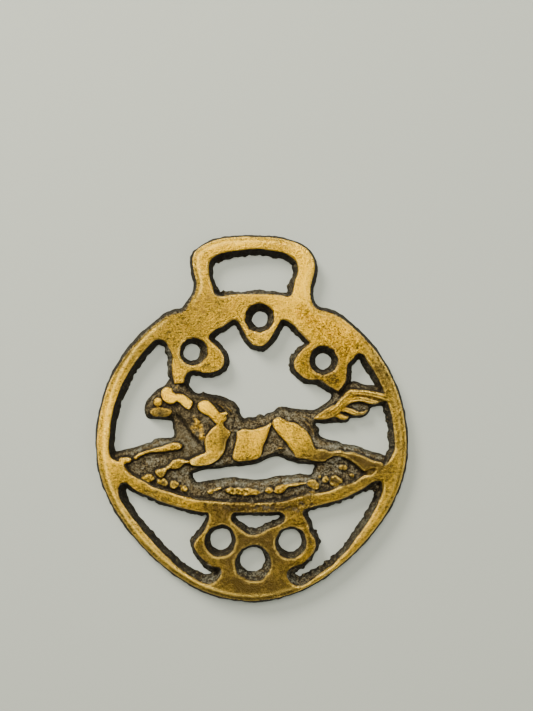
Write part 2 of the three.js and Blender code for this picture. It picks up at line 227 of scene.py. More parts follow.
leftCusp = [(-19.2, 15.1), (-19.6, 16.9), (-19.8, 18.6), (-19.75, 20), (-19.6, 21.3), (-20.6, 23.7)]
rightCusp = [
    (14.1, 24.8), (12.6, 26.5), (11.3, 27.7), (10, 29.25), (8.5, 30.3), (7.4, 30.7), (6.6, 30.5),
    (5.2, 28), (4.1, 26.2), (3, 24.9), (1.95, 24.2), (0.65, 24.25), (-0.4, 24.8), (-1.3, 25.9),
    (-2.2, 27.5), (-3, 29.1), (-3.8, 30.3), (-4.6, 30.7), (-5.5, 30.5), (-6.7, 29.7), (-7.8, 28.9),
    (-8.9, 28.5), (-10, 27.6), (-10.9, 26.8), (-11.1, 26.1), (-10.8, 25.3), (-9.8, 24.5), (-8.7, 23.4),
    (-7.7, 22.1), (-7.35, 20.8), (-7.6, 19.3), (-8.7, 18.2), (-10, 17.8), (-11.7, 17.6), (-13.9, 18.1),
    (-15, 18.2), (-16.1, 17.7), (-16.95, 16.6), (-17.2, 15.3),
]
panel = [
    [
        *leftCusp, (-21.5, 25.2), (-22.6, 25.75), (-23.9, 25.7), *rimArc(133, 182, 9), (-34.8, -3.2),
        (-33.6, -4), (-31.9, -4.3), (-31.2, -6), (-30.3, -7.1), (-28.5, -8.05), (-26.6, -8.95),
        (-24.8, -10.05), (-23, -10.8), (-20.7, -11.45), (-16.4, -12.8), (-14.1, -13.4), (-11.9, -13.6),
        (-9.5, -13.8), (-5, -14.1), (3.6, -14.1), (7.9, -13.7), (10.1, -13), (12.3, -12.4),
        (15.8, -11.8), (18.7, -11.2), (20.8, -10.3), (23.3, -9.6), (24.9, -8.95), (26, -8.05),
        (27.1, -7.5), (28.7, -7.25), (30.3, -5.6), (32.2, -4.75), (33.3, -3.4), *rimArc(-2, 36, 8),
        (27.3, 21.6), (26.4, 22.3), (25.6, 22.4), (24.8, 21.9), (24, 20.9), (22.9, 19.8), (22.6, 18.8),
        (22.5, 17), (22.2, 15.3),
    ],
    [
        (20.6, 13.2), (18.5, 14.3), (17.2, 15.1), (15.9, 15.9), (13.9, 16), (12.6, 16.3), (11.3, 17.3),
        (10.2, 18.6), (10, 20.1), (10.65, 21.65), (12, 23.1),
    ],
    rightCusp,
]
leftCrescent = [[
    (-11, -16.4), (-10.7, -17.6), (-11.2, -19.4), (-11.9, -20.8), (-13, -22.1), (-13.95, -23.3),
    (-14.4, -24.4), (-13.9, -25.5), (-12.8, -26.9), (-11.4, -28.3), (-10, -29.15), (-8.5, -29.4),
    (-7.8, -29.9), (-7.7, -31), (-8.4, -32.3), (-9.5, -33.35), (-11.2, -33.7), (-12.9, -33.3),
    (-13.9, -32.7), (-16.2, -31.2), (-18.7, -29.4), (-20.95, -27.1), (-23.2, -24.9), (-25.5, -22.4),
    (-27.8, -19.75), (-29.8, -17.1), (-31.6, -14.6), (-32.7, -12.6), (-32.95, -10.5), (-32.2, -9.2),
    (-30.7, -9.2), (-29.4, -10.3), (-27.8, -11.3), (-25.5, -12.25), (-23.2, -13.3), (-18.7, -14.75),
    (-14.1, -15.9), (-11.9, -16.2),
]]
rightCrescent = [[
    (12, -15.7), (13.95, -15), (18.5, -13.8), (20.8, -13.2), (23, -12.25), (25.3, -11.1),
    (27.1, -10.1), (28.3, -9.2), (29.6, -8.65), (31, -8.65), (31.55, -9.7), (31.4, -11.7),
    (30.5, -13.7), (29.4, -16), (27.8, -18.7), (26.2, -21), (24.4, -23.3), (22.8, -25.5), (21, -27.4),
    (19.2, -29.2), (17.1, -30.7), (15.1, -31.9), (13.3, -33.2), (11.7, -34.15), (10.2, -34.1),
    (8.95, -33.4), (8.05, -32.1), (8.05, -30.6), (8.95, -29.55), (10.5, -28.95), (12.1, -28.3),
    (13.3, -27.1), (14.4, -25.8), (14.9, -24.2), (14.7, -22.8), (13.95, -21.7), (13.35, -20.8),
    (13.3, -19.9), (12.8, -18.7), (12.1, -17.5), (11.75, -16.4),
]]
lens = [[
    (-5.6, -18.3), (-5.5, -17), (-4.9, -16.3), (-3, -16.2), (3.6, -16.2), (6.8, -16.25), (7.7, -17.2),
    (7.4, -18.5), (5.7, -19.6), (3.6, -20.4), (1.8, -21.4), (0.3, -21.85), (-1.4, -21.7),
    (-3, -20.65), (-4.3, -19.6),
]]
holes = [  # at, radius at the face, radius at the back, how far the back centre is off
    ((1.45, 30.85), 3.75, 1.9, (0, 0)),
    ((-14.65, 22.7), 3.5, 1.9, (-0.8, 0)),
    ((17.1, 20.5), 3.7, 2, (0, 0)),
    ((-8.15, -23.2), 4, 2.6, (0, 0)),
    ((8.9, -23.55), 3.95, 2.75, (0, 0)),
    ((0, -28.6), 4.4, 2.9, (-0.2, 0.5)),
]
# The windows of the ledge, by their edge at the back. Their outer sides reach into the rim.
beforeHead = [[
    (-34.4, -1.6), (-30.8, -0.9), (-28.4, -0.3), (-26.6, 0.25), (-25.2, 0.65), (-24.4, 1.35),
    (-23.2, 1.6), (-21.3, 1.6), (-19.7, 2), (-19.85, 4), (-20.2, 5.8), (-22.5, 5.9), (-25, 6.1),
    (-26.4, 6.6), (-27, 7.8), (-27, 9.4), (-26.6, 10.7), (-25.6, 11.9), (-23.8, 13.5), (-22.1, 14.5),
    (-21.2, 15.5), (-20.6, 16.5), (-19.9, 18.6), (-19.7, 21.4), (-21.1, 24.7), (-22.8, 25.8),
    *rimArc(133, 180, 7),
]]
overBack = [[
    (-16.2, 14.9), (-15.7, 14.1), (-14.7, 13), (-13.3, 12.6), (-12.6, 13.1), (-11.7, 12.6),
    (-10, 12.2), (-8, 11.8), (-6.3, 11.2), (-4.6, 10.4), (-3.8, 9.5), (-3.3, 8.6), (-3.2, 7.5),
    (-2.4, 6.5), (-1.6, 6.8), (0.3, 6.8), (1.1, 7.3), (1.9, 7.4), (2.5, 7.05), (3.2, 7.7), (4.4, 7.95),
    (6.3, 9.1), (7.85, 9.1), (10.5, 8.8), (12.5, 8.85), (15, 8.8), (17.4, 9.9), (18.9, 11.3),
    (19, 12.2), (18.2, 13.1), (15.9, 15.9), (12.4, 16.4), (10.2, 18.6), (10.3, 21.2), (12, 23.1),
    (13.6, 24.8), (11.3, 27.7), (8.5, 30.3), (6.7, 30.5), (5, 27.8), (3, 24.9), (1.3, 24.1),
    (-0.6, 24.9), (-2.3, 27.6), (-3.8, 30.3), (-5.5, 30.5), (-7.8, 28.9), (-10.2, 27.4), (-11, 26),
    (-9.8, 24.5), (-7.7, 22.1), (-7.4, 19.7), (-8.8, 18.1), (-11.7, 17.6), (-15, 18.2), (-16.6, 16.6),
]]
overTail = [[
    (22.8, 15.4), (24.6, 15.6), (25.4, 15.5), (26.8, 14.9), (29.3, 14.6), (31.3, 14.7),
    *rimArc(27, 36, 2), (26.2, 22.5), (24.2, 21.1), (22.7, 19),
]]
underTail = [[
    (15.2, 5), (16.3, 3.9), (16.3, 2.6), (17.2, 1.7), (18.6, 1.15), (20.6, 0.85), (21.9, 0.1),
    (23.9, -0.1), (26.8, -0.9), (29.1, -1.8), (30.8, -2.2), (33.3, -2.8), *rimArc(-1, 14.5, 3),
    (31.2, 9.5), (30.1, 9.3), (28.9, 8.8), (28.3, 7.9), (27.2, 6.9), (25.4, 6.6), (23.8, 6.4),
    (23.1, 5.6), (20.9, 5.2), (18, 5.1),
]]
underBelly = [[
    (-15.1, -7.2), (-13.9, -6.7), (-11.9, -6.2), (-9.8, -6.05), (-6.1, -5.5), (-3.1, -5.4),
    (-1.6, -5.2), (0.7, -4.75), (2.7, -3.9), (4, -3.4), (5.5, -3.2), (7.1, -3.5), (8.6, -4.1),
    (10.4, -4.6), (13.3, -4.9), (14.9, -5.2), (14.4, -6.2), (14, -7.2), (11.2, -7.2), (9.5, -7.4),
    (6.8, -7.5), (4.8, -8), (3.2, -8.4), (1.3, -8.6), (-0.5, -8.6), (-2.5, -8.3), (-6.1, -8.1),
    (-8, -8.35), (-10, -8.7), (-11.9, -9), (-13.9, -9.3), (-14.7, -8.6),
]]
ledgeWindows = [beforeHead, overBack, overTail, underTail, underBelly]

horseBody = [[
    (-26.3, 8.4), (-25.4, 10.8), (-22.4, 13.3), (-20.2, 15), (-17.2, 14.2), (-14.3, 12), (-9.8, 11.2),
    (-6.4, 9.8), (-4.4, 7.8), (-2.5, 5.4), (0.4, 5.7), (3, 6.6), (6, 7.9), (10.4, 7.8), (14.4, 7.6),
    (16.6, 7.6), (15, 5.8), (14.9, 3.4), (16, 0.9), (20.4, -0.3), (22, -3.4), (16, -4.5), (10.3, -3.7),
    (7, -2.4), (4, -2.6), (0, -4.1), (-5, -4.6), (-12, -5.3), (-15.4, -5), (-12.9, -1.2), (-15.4, 3.1),
    (-18.2, 6.8), (-22, 6.8), (-25.2, 7.1),
]]
# The worn high parts: height of the top, how far the flank spreads, how far the edge droops, outline.
highParts = {
    "cheek": (3.9, 0.56, 0.19, [
        (-22.3, 13.2), (-21.5, 13.9), (-20.8, 13.9), (-20.1, 13.6), (-19.8, 12.8), (-19.2, 12.3),
        (-17.9, 12.2), (-16.9, 11.85), (-15.8, 11.1), (-15, 10.4), (-15.1, 9.7), (-15.7, 8.85),
        (-16.25, 8.9), (-16.9, 9.35), (-17.9, 10.3), (-18.65, 10.7), (-19.2, 10.5), (-19.8, 10.1),
        (-20.8, 10.1), (-21.7, 10.7), (-22.3, 11.65), (-22.5, 12.5),
    ]),
    "shoulder": (3.97, 0.6, 0.22, [
        (-13.65, 9.3), (-13.3, 10.1), (-12.3, 10.6), (-11.2, 10.6), (-10.4, 10.1), (-9.6, 9.15),
        (-8.65, 8), (-7.9, 7.7), (-6.9, 7.95), (-6.4, 7.6), (-6.8, 7), (-6.7, 6.3), (-7.4, 5.3),
        (-7.1, 4.35), (-6.35, 3.6), (-5.7, 3.1), (-5.95, 2.3), (-6.4, 1.6), (-6.8, 0.3), (-7, -0.85),
        (-7.7, -2.4), (-8.8, -3.5), (-10.2, -4.4), (-11.7, -4.8), (-13.6, -4.9), (-15, -4.75),
        (-15.55, -3.95), (-14.2, -3.1), (-12.7, -2.4), (-11.5, -1.8), (-11.7, -0.85), (-11.9, 0.7),
        (-11.5, 2), (-10.6, 3.4), (-9.6, 4.35), (-8.95, 4.9), (-9.5, 5.6), (-10.4, 6.6), (-11.15, 7.2),
        (-12.5, 7.8), (-13.3, 8.5),
    ]),
    "barrel": (3.92, 0.6, 0.22, [
        (-4, 3.15), (-3.2, 3.55), (-2.2, 3.8), (-0.9, 3.6), (0.4, 3.75), (1.7, 4.15), (3.2, 4.6),
        (4.25, 5.25), (3.9, 4.2), (3.2, 2), (2.3, -0.1), (1.7, -2.4), (1.2, -3), (-0.2, -3.5),
        (-2.15, -3.9), (-4.1, -3.9), (-5, -3.3), (-4.9, -2), (-4.5, -0.5), (-4.05, 1.5),
    ]),
    "haunch": (3.98, 0.6, 0.19, [
        (4.6, 5.2), (5, 6.1), (5.9, 6.6), (7.1, 6.2), (8.4, 5.5), (10.15, 5.2), (11.3, 4.5),
        (12.65, 3.4), (13.6, 2.2), (14.2, 0.7), (15.1, -1), (17.1, -1.15), (18.6, -1.75), (21, -1.5),
        (22.4, -2), (23.9, -1.9), (25.5, -2.4), (27.4, -3.15), (28.9, -3.85), (31.5, -4.6),
        (31, -6.3), (29.3, -5.6), (28.3, -5.85), (26.6, -6.15), (25.3, -5), (23.9, -4), (22.8, -3.35),
        (21.6, -2.8), (19.7, -2.55), (18.3, -3.15), (17, -3.85), (14.9, -3.8), (13, -3.35),
        (10.4, -3.05), (9.9, -2.2), (9, -0.85), (7.5, 1.1), (5.9, 2.8), (4.96, 4.15),
    ]),
    "knee": (3.6, 0.48, 0.17, [
        (-21.3, -5.65), (-20.4, -4.9), (-19.6, -4), (-18.5, -3.5), (-17.3, -3.6), (-16.4, -3.85),
        (-15.6, -4), (-15.7, -4.4), (-16.6, -4.45), (-17.4, -4.9), (-18.1, -5.55), (-19.4, -5.75),
        (-20.3, -5.6), (-21, -6),
    ]),
    "hoof": (3.6, 0.44, 0.17, [
        (-23.85, -6.4), (-22.7, -6), (-21.3, -5.85), (-21.5, -6.8), (-22.1, -7.7), (-22.9, -7.9),
        (-23.6, -7.2),
    ]),
    "rimKnob": (3.6, 0.4, 0.2, [
        (-32.6, -3.3), (-31, -3.1), (-29.9, -3.4), (-30, -4.1), (-31, -4.4), (-32.4, -4.8),
    ]),
    "farForeleg": (3.5, 0.45, 0.2, [
        (-29.2, -3.2), (-28.2, -2.3), (-26.2, -1.55), (-24.3, -1), (-22.3, -0.45), (-20, 0.3),
        (-18.4, 0.3), (-17.6, -0.4), (-18.3, -1), (-20.4, -1.35), (-22.3, -1.6), (-23.6, -1.7),
        (-25.2, -1.85), (-26.9, -2.3), (-27.9, -2.85), (-28.8, -3.5),
    ]),
    "muzzle": (3.5, 0.4, 0.3, [
        (-25.3, 8.1), (-24.5, 8.9), (-22.8, 9.2), (-21.2, 8.9), (-20, 8.4), (-20.2, 7.5), (-21.6, 6.8),
        (-23.2, 6.7), (-24.7, 7.1),
    ]),
    "eye": (3.65, 0.45, 0.25, arc(-23.4, 10.35, 1.0, 0, 315, 7)),
    "tailMass": (3.2, 0.5, 0.3, [
        (15.5, 6.6), (18, 8.4), (20, 9.8), (21.5, 11.4), (23.5, 12.9), (27, 12.9), (31, 12.2),
        (33.3, 11.2), (31, 10.4), (28.5, 9.9), (26, 10.5), (24, 10.2), (22, 9), (20, 7.6), (17.5, 6.4),
    ]),
    "hindHoof": (3.3, 0.5, 0.3, [
        (26.9, -6.5), (28.6, -5.7), (30.6, -5), (31.8, -5.4), (31.5, -6.7), (29.6, -7.5), (28, -7.3),
    ]),
    "tailRoot": (3.75, 0.56, 0.28, [
        (14.8, 6.4), (15.6, 7.3), (17, 8.1), (18.4, 8.9), (20.1, 9.6), (21.2, 9.4), (21.2, 8.2),
        (20.2, 7.3), (18.6, 6.7), (16.8, 6.3),
    ]),
    "upperLock": (3.92, 0.56, 0.22, [
        (18.6, 8.4), (19.9, 9.5), (20.6, 10.5), (21.6, 11.6), (22.4, 12.5), (23.7, 13.3), (25.5, 13.15),
        (27.4, 13.2), (29.3, 12.9), (31.2, 12.5), (33.2, 12), (33.6, 10.4), (32, 10.85), (30.5, 11.3),
        (28.9, 11.7), (27.4, 12), (25.5, 12.1), (24.2, 11.8), (22.9, 11), (21.8, 10), (20.6, 8.9),
    ]),
    "secondLock": (3.75, 0.48, 0.22, [
        (21, 9.9), (21.9, 10.9), (23.4, 11.5), (25.5, 11.75), (27.4, 11.45), (29.3, 10.8), (30.6, 10.4),
        (29.6, 9.9), (28.2, 10), (27, 10.4), (25.6, 10.6), (24, 10.3), (22.6, 9.6), (21.6, 9.1),
    ]),
    "thirdLock": (3.55, 0.44, 0.22, [
        (20.3, 8.9), (21.2, 9.3), (22.8, 9), (24.6, 8.4), (25.8, 7.9), (27, 8.1), (28, 8.5), (27.7, 7.7),
        (26.6, 7.15), (25.3, 7), (24, 7.4), (22.4, 8), (21, 8.2),
    ]),
    "fourthLock": (3.4, 0.4, 0.22, [
        (18.6, 7.7), (19.7, 8.1), (21, 7.7), (22.2, 7), (23.1, 6.7), (22.4, 6.1), (21.2, 6.2),
        (20.2, 6.7), (18.8, 7),
    ]),
}
# How bright the duller of them are rubbed, and how far some tops fall towards the right and the loop
dullness = {
    "muzzle": 0.5, "farForeleg": 0.75, "tailMass": 0.5, "hindHoof": 0.6, "fourthLock": 0.7,
    "thirdLock": 0.8, "tailRoot": 0.85, "rimKnob": 0.85,
}
lean = {
    "cheek": (-0.01, 0.15), "shoulder": (0.012, 0.05), "barrel": (-0.01, 0.03), "haunch": (0.0, 0.03),
    "upperLock": (0.0, 0.06), "tailRoot": (-0.05, 0.05), "secondLock": (0.0, 0.05),
}
# Low lumps of ground under the horse: height of the top, outline.
pebbles = [
    (2.9, [(-27.4, -8), (-26, -7.35), (-24.9, -7.5), (-24.4, -8.3), (-24.8, -8.9), (-26, -8.9)]),
    (3, [(-20.5, -9.3), (-19.7, -8.6), (-18.6, -8.8), (-18.2, -9.6), (-18.9, -10.4), (-20.1, -10.2)]),
    (2.8, [(-17.6, -10.9), (-17, -10.2), (-16.4, -10.1), (-16.1, -10.7), (-16.5, -11.3), (-17.1, -11.2)]),
    (2.75, [(-11.1, -11.4), (-9.5, -10.8), (-8, -10.3), (-8, -10.7), (-9.6, -11.3), (-10.9, -11.8)]),
    (3.05, [
        (-7, -10.85), (-6, -10.3), (-4.3, -10.2), (-3, -10.8), (-0.8, -10.95), (1.2, -11.15),
        (2.4, -11.5), (2, -12.1), (-0.8, -12.2), (-3.8, -12.1), (-5.8, -11.85), (-6.9, -11.35),
    ]),
    (2.85, [(2.8, -11.4), (3.4, -10.5), (4.4, -10.6), (4.8, -11.2), (4, -11.9)]),
    (3.05, [
        (4.9, -11.4), (5.3, -10.5), (6, -9.95), (7.8, -9.5), (9.9, -9.3), (12.7, -9.3), (10.5, -10.1),
        (8.3, -10.7), (7.2, -11.6), (5.8, -12.05),
    ]),
    (2.9, [(13.2, -9.8), (13.6, -8.9), (14.8, -8.6), (15.8, -9.4), (15.9, -10.6), (14.7, -10.9)]),
    (2.7, [(13.1, -11.2), (14.2, -11), (15, -11.5), (14, -12)]),
    (2.85, [(16.8, -8.9), (17, -7.9), (17.8, -7.5), (18.2, -8.5), (17.4, -9.2)]),
    (3.05, [
        (18.6, -8.8), (18.9, -7.8), (19.9, -7.35), (20.8, -7.7), (21.8, -8.9), (21, -9.75),
        (19.6, -10.15),
    ]),
    (2.95, [(20.7, -5.5), (21.3, -4.9), (22.3, -5), (22.9, -5.7), (22.3, -6.5), (21.3, -6.3)]),
    (2.85, [(23.3, -7.2), (23.9, -6.8), (24.6, -7.3), (24.3, -8), (23.6, -8)]),
    (2.7, [(15.6, -7.6), (16.3, -7.2), (16.6, -7.9), (16, -8.3)]),
    (2.75, [(-23.6, -8.7), (-22.4, -8.4), (-21.2, -8.8), (-20.9, -9.6), (-22.3, -9.8), (-23.4, -9.5)]),
]
# Ridges stand up and grooves go down: amount, width, line.
strokes = [
    (0.4, 0.6, [(-15.2, 11.7), (-13, 11.75), (-10.8, 11.5), (-9, 10.9), (-7.9, 10.3), (-5.8, 8.4)]),
    (0.5, 0.4, [(-9.9, 10.6), (-8.2, 9.7), (-6.8, 8.3), (-6, 7)]),
    (-0.55, 0.28, [(-13.8, 11.1), (-12.4, 11.1), (-10.4, 10.9), (-8.2, 9.1), (-6.5, 7.4)]),
    (-0.5, 0.28, [(-9.4, 11), (-9, 10.5), (-7.4, 9.4), (-5.5, 7.4)]),
    (-0.45, 0.25, [(-15.4, 12.6), (-12.6, 12), (-10.6, 11.7), (-8.4, 10.7)]),
    (-0.4, 0.3, [(-4.6, 6.8), (-4.9, 5.2), (-5.2, 4)]),
    (-0.3, 0.22, [(12.6, 6.4), (13.5, 5.3), (14.6, 4.4)]),
    (-0.3, 0.22, [(13.2, 7), (14.4, 6), (15.1, 5.4)]),
    (-0.3, 0.22, [(11.7, 5.7), (13, 4.6), (14, 3.2)]),
    (0.22, 0.3, [(-14, 6.1), (-13.9, 4.9), (-13.7, 3.9)]),
    (0.18, 0.25, [(-15.6, 5.4), (-14.6, 5), (-13.9, 5)]),
    (0.55, 0.4, [(-14.6, 7), (-12.8, 6.9), (-11.6, 6.3), (-10.7, 5.4), (-10.1, 4.5)]),
    (0.18, 0.25, [(-13.9, 4.9), (-13.1, 5.5), (-12.6, 6.2)]),
    (-0.25, 0.25, [(-15, 3.9), (-14.1, 4.3), (-12.9, 4.1)]),
    (-0.55, 0.5, [(-18.8, 7.4), (-17, 4.6), (-15, 1.9), (-13.2, 0.2), (-12.3, -0.8)]),
    (0.35, 0.5, [(-17.9, 8.6), (-16.8, 7.2), (-15.9, 5.4)]),
    (0.55, 0.45, [(1.9, -2.8), (4, -2.1), (5.9, -1), (7.1, -0.9), (8.6, -1.8), (10.1, -2.8)]),
    (0.3, 0.28, [(11.2, 6.3), (12.6, 5.6), (14, 4.2), (14.6, 2.6)]),
    (0.3, 0.25, [(12.2, 6.9), (13.6, 6.3), (14.7, 5.4)]),
    (0.4, 0.3, [(-5.9, 3.3), (-5, 3.45), (-4.2, 3.35)]),
    (0.35, 0.3, [(-5.6, 2), (-5.2, 0.4), (-5.5, -1.6)]),
    (0.5, 0.4, [(-16.6, -4), (-15.9, -4.2), (-15.2, -4.3)]),
    (0.5, 0.35, [(-20.6, -5.3), (-21, -5.8), (-21.6, -6.2)]),
    (-0.4, 0.35, [(-28.9, -5.2), (-27, -4), (-24.4, -3.1), (-21.4, -2.5)]),
    (-0.3, 0.3, [(-28.6, -6.3), (-27.2, -7.3), (-25.4, -6.9), (-23.8, -5.8), (-21.4, -4.4)]),
    (0.3, 0.5, [(-27.6, -5.7), (-26, -5.1), (-24, -4.4), (-22, -3.6)]),
    (-0.3, 0.3, [(24.6, 12.75), (26.2, 12.55), (28.3, 12.35), (30.3, 11.9)]),
    (-0.35, 0.25, [(16.6, 7.1), (18.4, 7.9), (20.2, 8.7), (21.6, 10.2), (22.8, 11.6)]),
    (0.7, 0.5, [(-18.9, 15.4), (-18.4, 14.4), (-17.8, 13.4)]),
]
# Fine grooves in the rubbed tops: depth, width, line
grooves = [
    (0.2, 0.17, [(9.9, 33), (10.3, 32.3), (11, 32.6), (10.7, 33.2)]),
    (0.2, 0.17, [(10.6, 31.6), (11.3, 31.2), (11.6, 31.8)]),
    (0.2, 0.17, [(12, 31.9), (12.3, 31), (13, 30.8), (13.4, 31.4), (14.1, 31)]),
    (0.2, 0.17, [(12.9, 30.1), (13.6, 29.6), (14.5, 30.1), (15, 29.4)]),
    (0.2, 0.17, [(17.7, 28.1), (18.2, 27.2), (18.7, 27.7)]),
    (0.2, 0.17, [(18.5, 26.7), (19.2, 27.2), (19.9, 26.8)]),
    (0.2, 0.17, [(19.4, 28.3), (19.8, 27.7)]),
    (0.25, 0.25, [(16.3, 7), (18.4, 7.8), (20.4, 9.1), (21.8, 10.8), (23.2, 11.7)]),
    (0.2, 0.2, [(17.2, 8), (19.2, 9.2), (20.6, 10.6), (22.2, 12.1), (24.6, 12.7)]),
    (0.22, 0.2, [(23.4, 10.8), (25.4, 11.2), (27.6, 10.9), (29.4, 10.4)]),
    (0.2, 0.2, [(25.6, 12.8), (28, 12.5), (30.5, 11.9), (32.4, 11.3)]),
    (0.3, 0.22, [(25.2, 12.1), (27.4, 11.8), (29.4, 11.3), (31.6, 10.7), (33, 10.3)]),
    (0.2, 0.2, [(21.6, 8.7), (23.4, 8.4), (25.4, 7.5), (27, 7.6)]),
    (0.2, 0.2, [(-21.4, 12.6), (-20.6, 12.1), (-19.6, 11.9)]),
    (0.15, 0.2, [(24.4, -3.6), (26.4, -4.4), (28.6, -5), (30.4, -5.4)]),
    (0.15, 0.2, [(19.6, -2.2), (21.6, -2.1), (23.4, -2.6)]),
    (0.18, 0.2, [(-26.4, -2), (-24.4, -1.4), (-22.6, -1)]),
    (0.15, 0.18, [(-20.8, -0.7), (-19.6, -0.5), (-18.6, -0.3)]),
]
print("outlines ready")


wear = {
    "edgeRound": 0.55,  # how softly a face turns into a wall, in mm of height
    "wallStray": 0.09,  # how far a wall strays from its outline
    "footStray": 0.34,  # and how much more at its foot
    "faceGrain": 0.02,
    "faceWaves": 0.06,
    "ledgeGrain": 0.085,
    "pitting": 0.13,
    "crown": 0.08,  # how far the horse's high parts fall away from their middles
    "edgeFall": 0.13,  # and the plate's faces towards their windows
    "crumbling": 0.6,  # how deep the roughest castings go
}
slow = roughness(4.5, 14)
coarse = roughness(1.8, 11)
middling = roughness(0.8, 12)
grit = roughness(0.42, 13)
crumbly = 0.35 + 0.65 * ramp(roughness(7, 15), -0.5, 0.5)  # some stretches of wall are cleaner than others


def patches(places):
    # soft oval spots: x, y, reach across, reach up, amount
    made = np.zeros(gridX.shape)
    for x, y, across, up, amount in places:
        made += amount * np.exp(-((gridX - x) / across) ** 2 - ((gridY - y) / up) ** 2)
    return made


pitted = np.clip(patches([
    (12.5, 32, 4, 3, 0.6), (18, 27.5, 4.5, 3.5, 1), (21, 23, 3.5, 4.5, 0.9), (16, 16.3, 3, 1.5, 0.8),
    (25.5, 25, 3, 3, 0.5), (13.5, 20, 2.5, 3.5, 0.9), (18.5, 16.3, 3.5, 1.6, 0.8),
    (1, -15, 9.5, 1.3, 1), (13, -14.5, 3.5, 2.2, 0.8), (13, -22, 2.3, 4, 0.8),
    (10, -28, 3, 1.5, 0.5), (-12.5, -21, 1.5, 3, 0.35), (18, 7.5, 3.5, 1.2, 0.8), (-8, 21, 2, 3, 0.35),
    (31.5, -5, 2.5, 1.5, 0.3), (-31, -6, 2, 2, 0.25), (24, 11, 4, 2, 0.25), (27.5, 17, 2, 3, 0.2),
    (-11, -14.8, 2, 1, 0.5), (24, -3.5, 4, 1, 0.25), (-7.5, 5.5, 1, 2, 0.4),
]), 0, 1)


# Where the casting failed to fill and left lumps
lumpy = np.clip(patches([
    (1, -15, 10, 1.5, 1), (4, -13.2, 6, 0.8, 0.7), (12.8, -15, 3, 2, 0.8), (13.2, -22.5, 1.6, 4, 0.9),
    (8.5, -19.3, 3.5, 0.9, 0.5), (-10, -18.5, 2.5, 1, 0.6), (-12.6, -22.5, 1.2, 2.5, 0.5),
    (13.5, 20, 1.6, 2.5, 0.35),
    (19, 15.5, 2.5, 2, 0.4), (13, -10.8, 2, 2.2, 0.6), (-22, -9.4, 3.5, 1, 0.5), (24, 12.3, 3, 1, 0.4),
]), 0, 1)
lump = 0.6 * roughness(1.3, 18) + 0.5 * roughness(0.6, 19) + 0.25 * grit


def wall(fieldInside, draft, crumble):
    # a window's wall: at the face on the outline, and at the back a draft's width further in
    share = np.clip(fieldInside / draft, 0, 1)
    stray = (
        (wear["wallStray"] + 0.16 * lumpy) * coarse
        + 0.12 * lumpy * middling
        + share * crumble * crumbly * wear["footStray"] * (middling + 0.6 * grit)
    )
    shifted = fieldInside + stray * ramp(fieldInside, -0.3, 0.4) + 0.05 * grit * ramp(share, 0, 0.3)
    return thickness * (1 - shifted / draft)


def holeWall(at, face, back, lean):
    dx, dy = gridX - at[0], gridY - at[1]
    away = np.maximum(np.hypot(dx, dy), 1e-6)
    shift = (lean[0] * dx + lean[1] * dy) / away
    stray = 0.17 * coarse + 0.11 * middling + 0.06 * grit
    depth = (face - away + stray) / (face - back - shift)
    return thickness * (1 - depth)


plateField = field(plateOutline())
panelField = field(outline(panel))
bevelFade = 1 - around(-18, 33, 4.5)
bevelWidth = plate["bevelWidth"] + patches([(-37, 2, 6, 17, 0.5)])
bevelRise = np.clip(plateField / bevelWidth, 0, 1)
bevelSide = bevelFade * (0.75 - 0.25 * np.tanh((gridX - 4) / 12))  # the bevel is worn away on the right
face = thickness - plate["bevelDrop"] * bevelSide * (1 - bevelRise) ** 1.15
faceEdge = thickness - plate["bevelDrop"] * bevelSide
outerFoot = plate["outerDraft"] * (1 + 0.15 * coarse + 0.09 * middling)
height = np.where(plateField > 0, face, faceEdge * (1 + plateField / outerFoot))
height = height - wear["faceWaves"] * np.clip(slow, 0, None) * ramp(plateField, 0, 2)

softEnds = 0.9 * (around(-10.5, -31.5, 3.2) + around(11, -31.5, 3.4))
softEnds = softEnds + 0.5 * (around(-32, -11, 2.5) + around(30, -10, 2.5))
wallDraft = plate["wallDraft"]
polish = ramp(plateField, -0.25, 0.05)  # where the metal is rubbed bright
for window, draft, crumble in (
    (strapSlot, wallDraft + patches([(-1, 36.4, 9, 1.5, 0.6), (9.6, 38.5, 1.5, 3, 0.5)]), 1.3),
    (panel, wallDraft + patches([(-20.4, 20.5, 1.5, 4, 0.7), (25, 16, 4, 3, 0.4)]), 0.8),
    (leftCrescent, wallDraft + softEnds, 0.8),
    (rightCrescent, wallDraft + softEnds, 1.0),
    (lens, wallDraft, 0.6),
):
    away = field(outline(window), 3.6)
    height = height - wear["edgeFall"] * (1 - np.clip(-away / 1.3, 0, 1)) ** 2
    height = lower(height, wall(away, draft, crumble), wear["edgeRound"])
    polish = np.minimum(polish, ramp(0.12 * coarse - away, -0.3, 0.1))
for hole in holes:
    made = holeWall(*hole)
    height = height - wear["edgeFall"] * around(*hole[0], hole[1] + 0.6) ** 2
    height = lower(height, made, wear["edgeRound"])
    polish = np.minimum(polish, ramp(made - thickness, -0.9, 0.1))

# The ledge, cut back by its windows
overWindow = np.full(gridX.shape, 9.0)
for window in ledgeWindows:
    overWindow = np.minimum(overWindow, -field(outline(window)))
edge = overWindow + 0.14 * coarse + 0.1 * crumbly * middling
ledgeTop = ledgeHeight + wear["ledgeGrain"] * (0.8 * coarse + 0.8 * middling + grit)
ledge = lower(ledgeTop, plate["ledgeSlope"] * edge, 0.7)
ledge = np.where(panelField > 0, ledge, -9.0)


def pillow(away, rise, flank, droop, foot, tilt=0.0):
    # a raised part: a steep flank, a rounded shoulder and a worn top that droops to its edge
    up = np.clip((away + flank) / (flank + 0.12), 0, 1)
    top = rise - droop * np.exp(-np.clip(away, 0, None) / 0.45)
    top = top - wear["crown"] * (1 - np.clip(away / 1.4, 0, 1)) ** 2 - tilt
    made = foot + (top - foot) * np.sin(up * math.pi / 2) ** 1.3
    return np.where(away > -flank, made, -9.0)


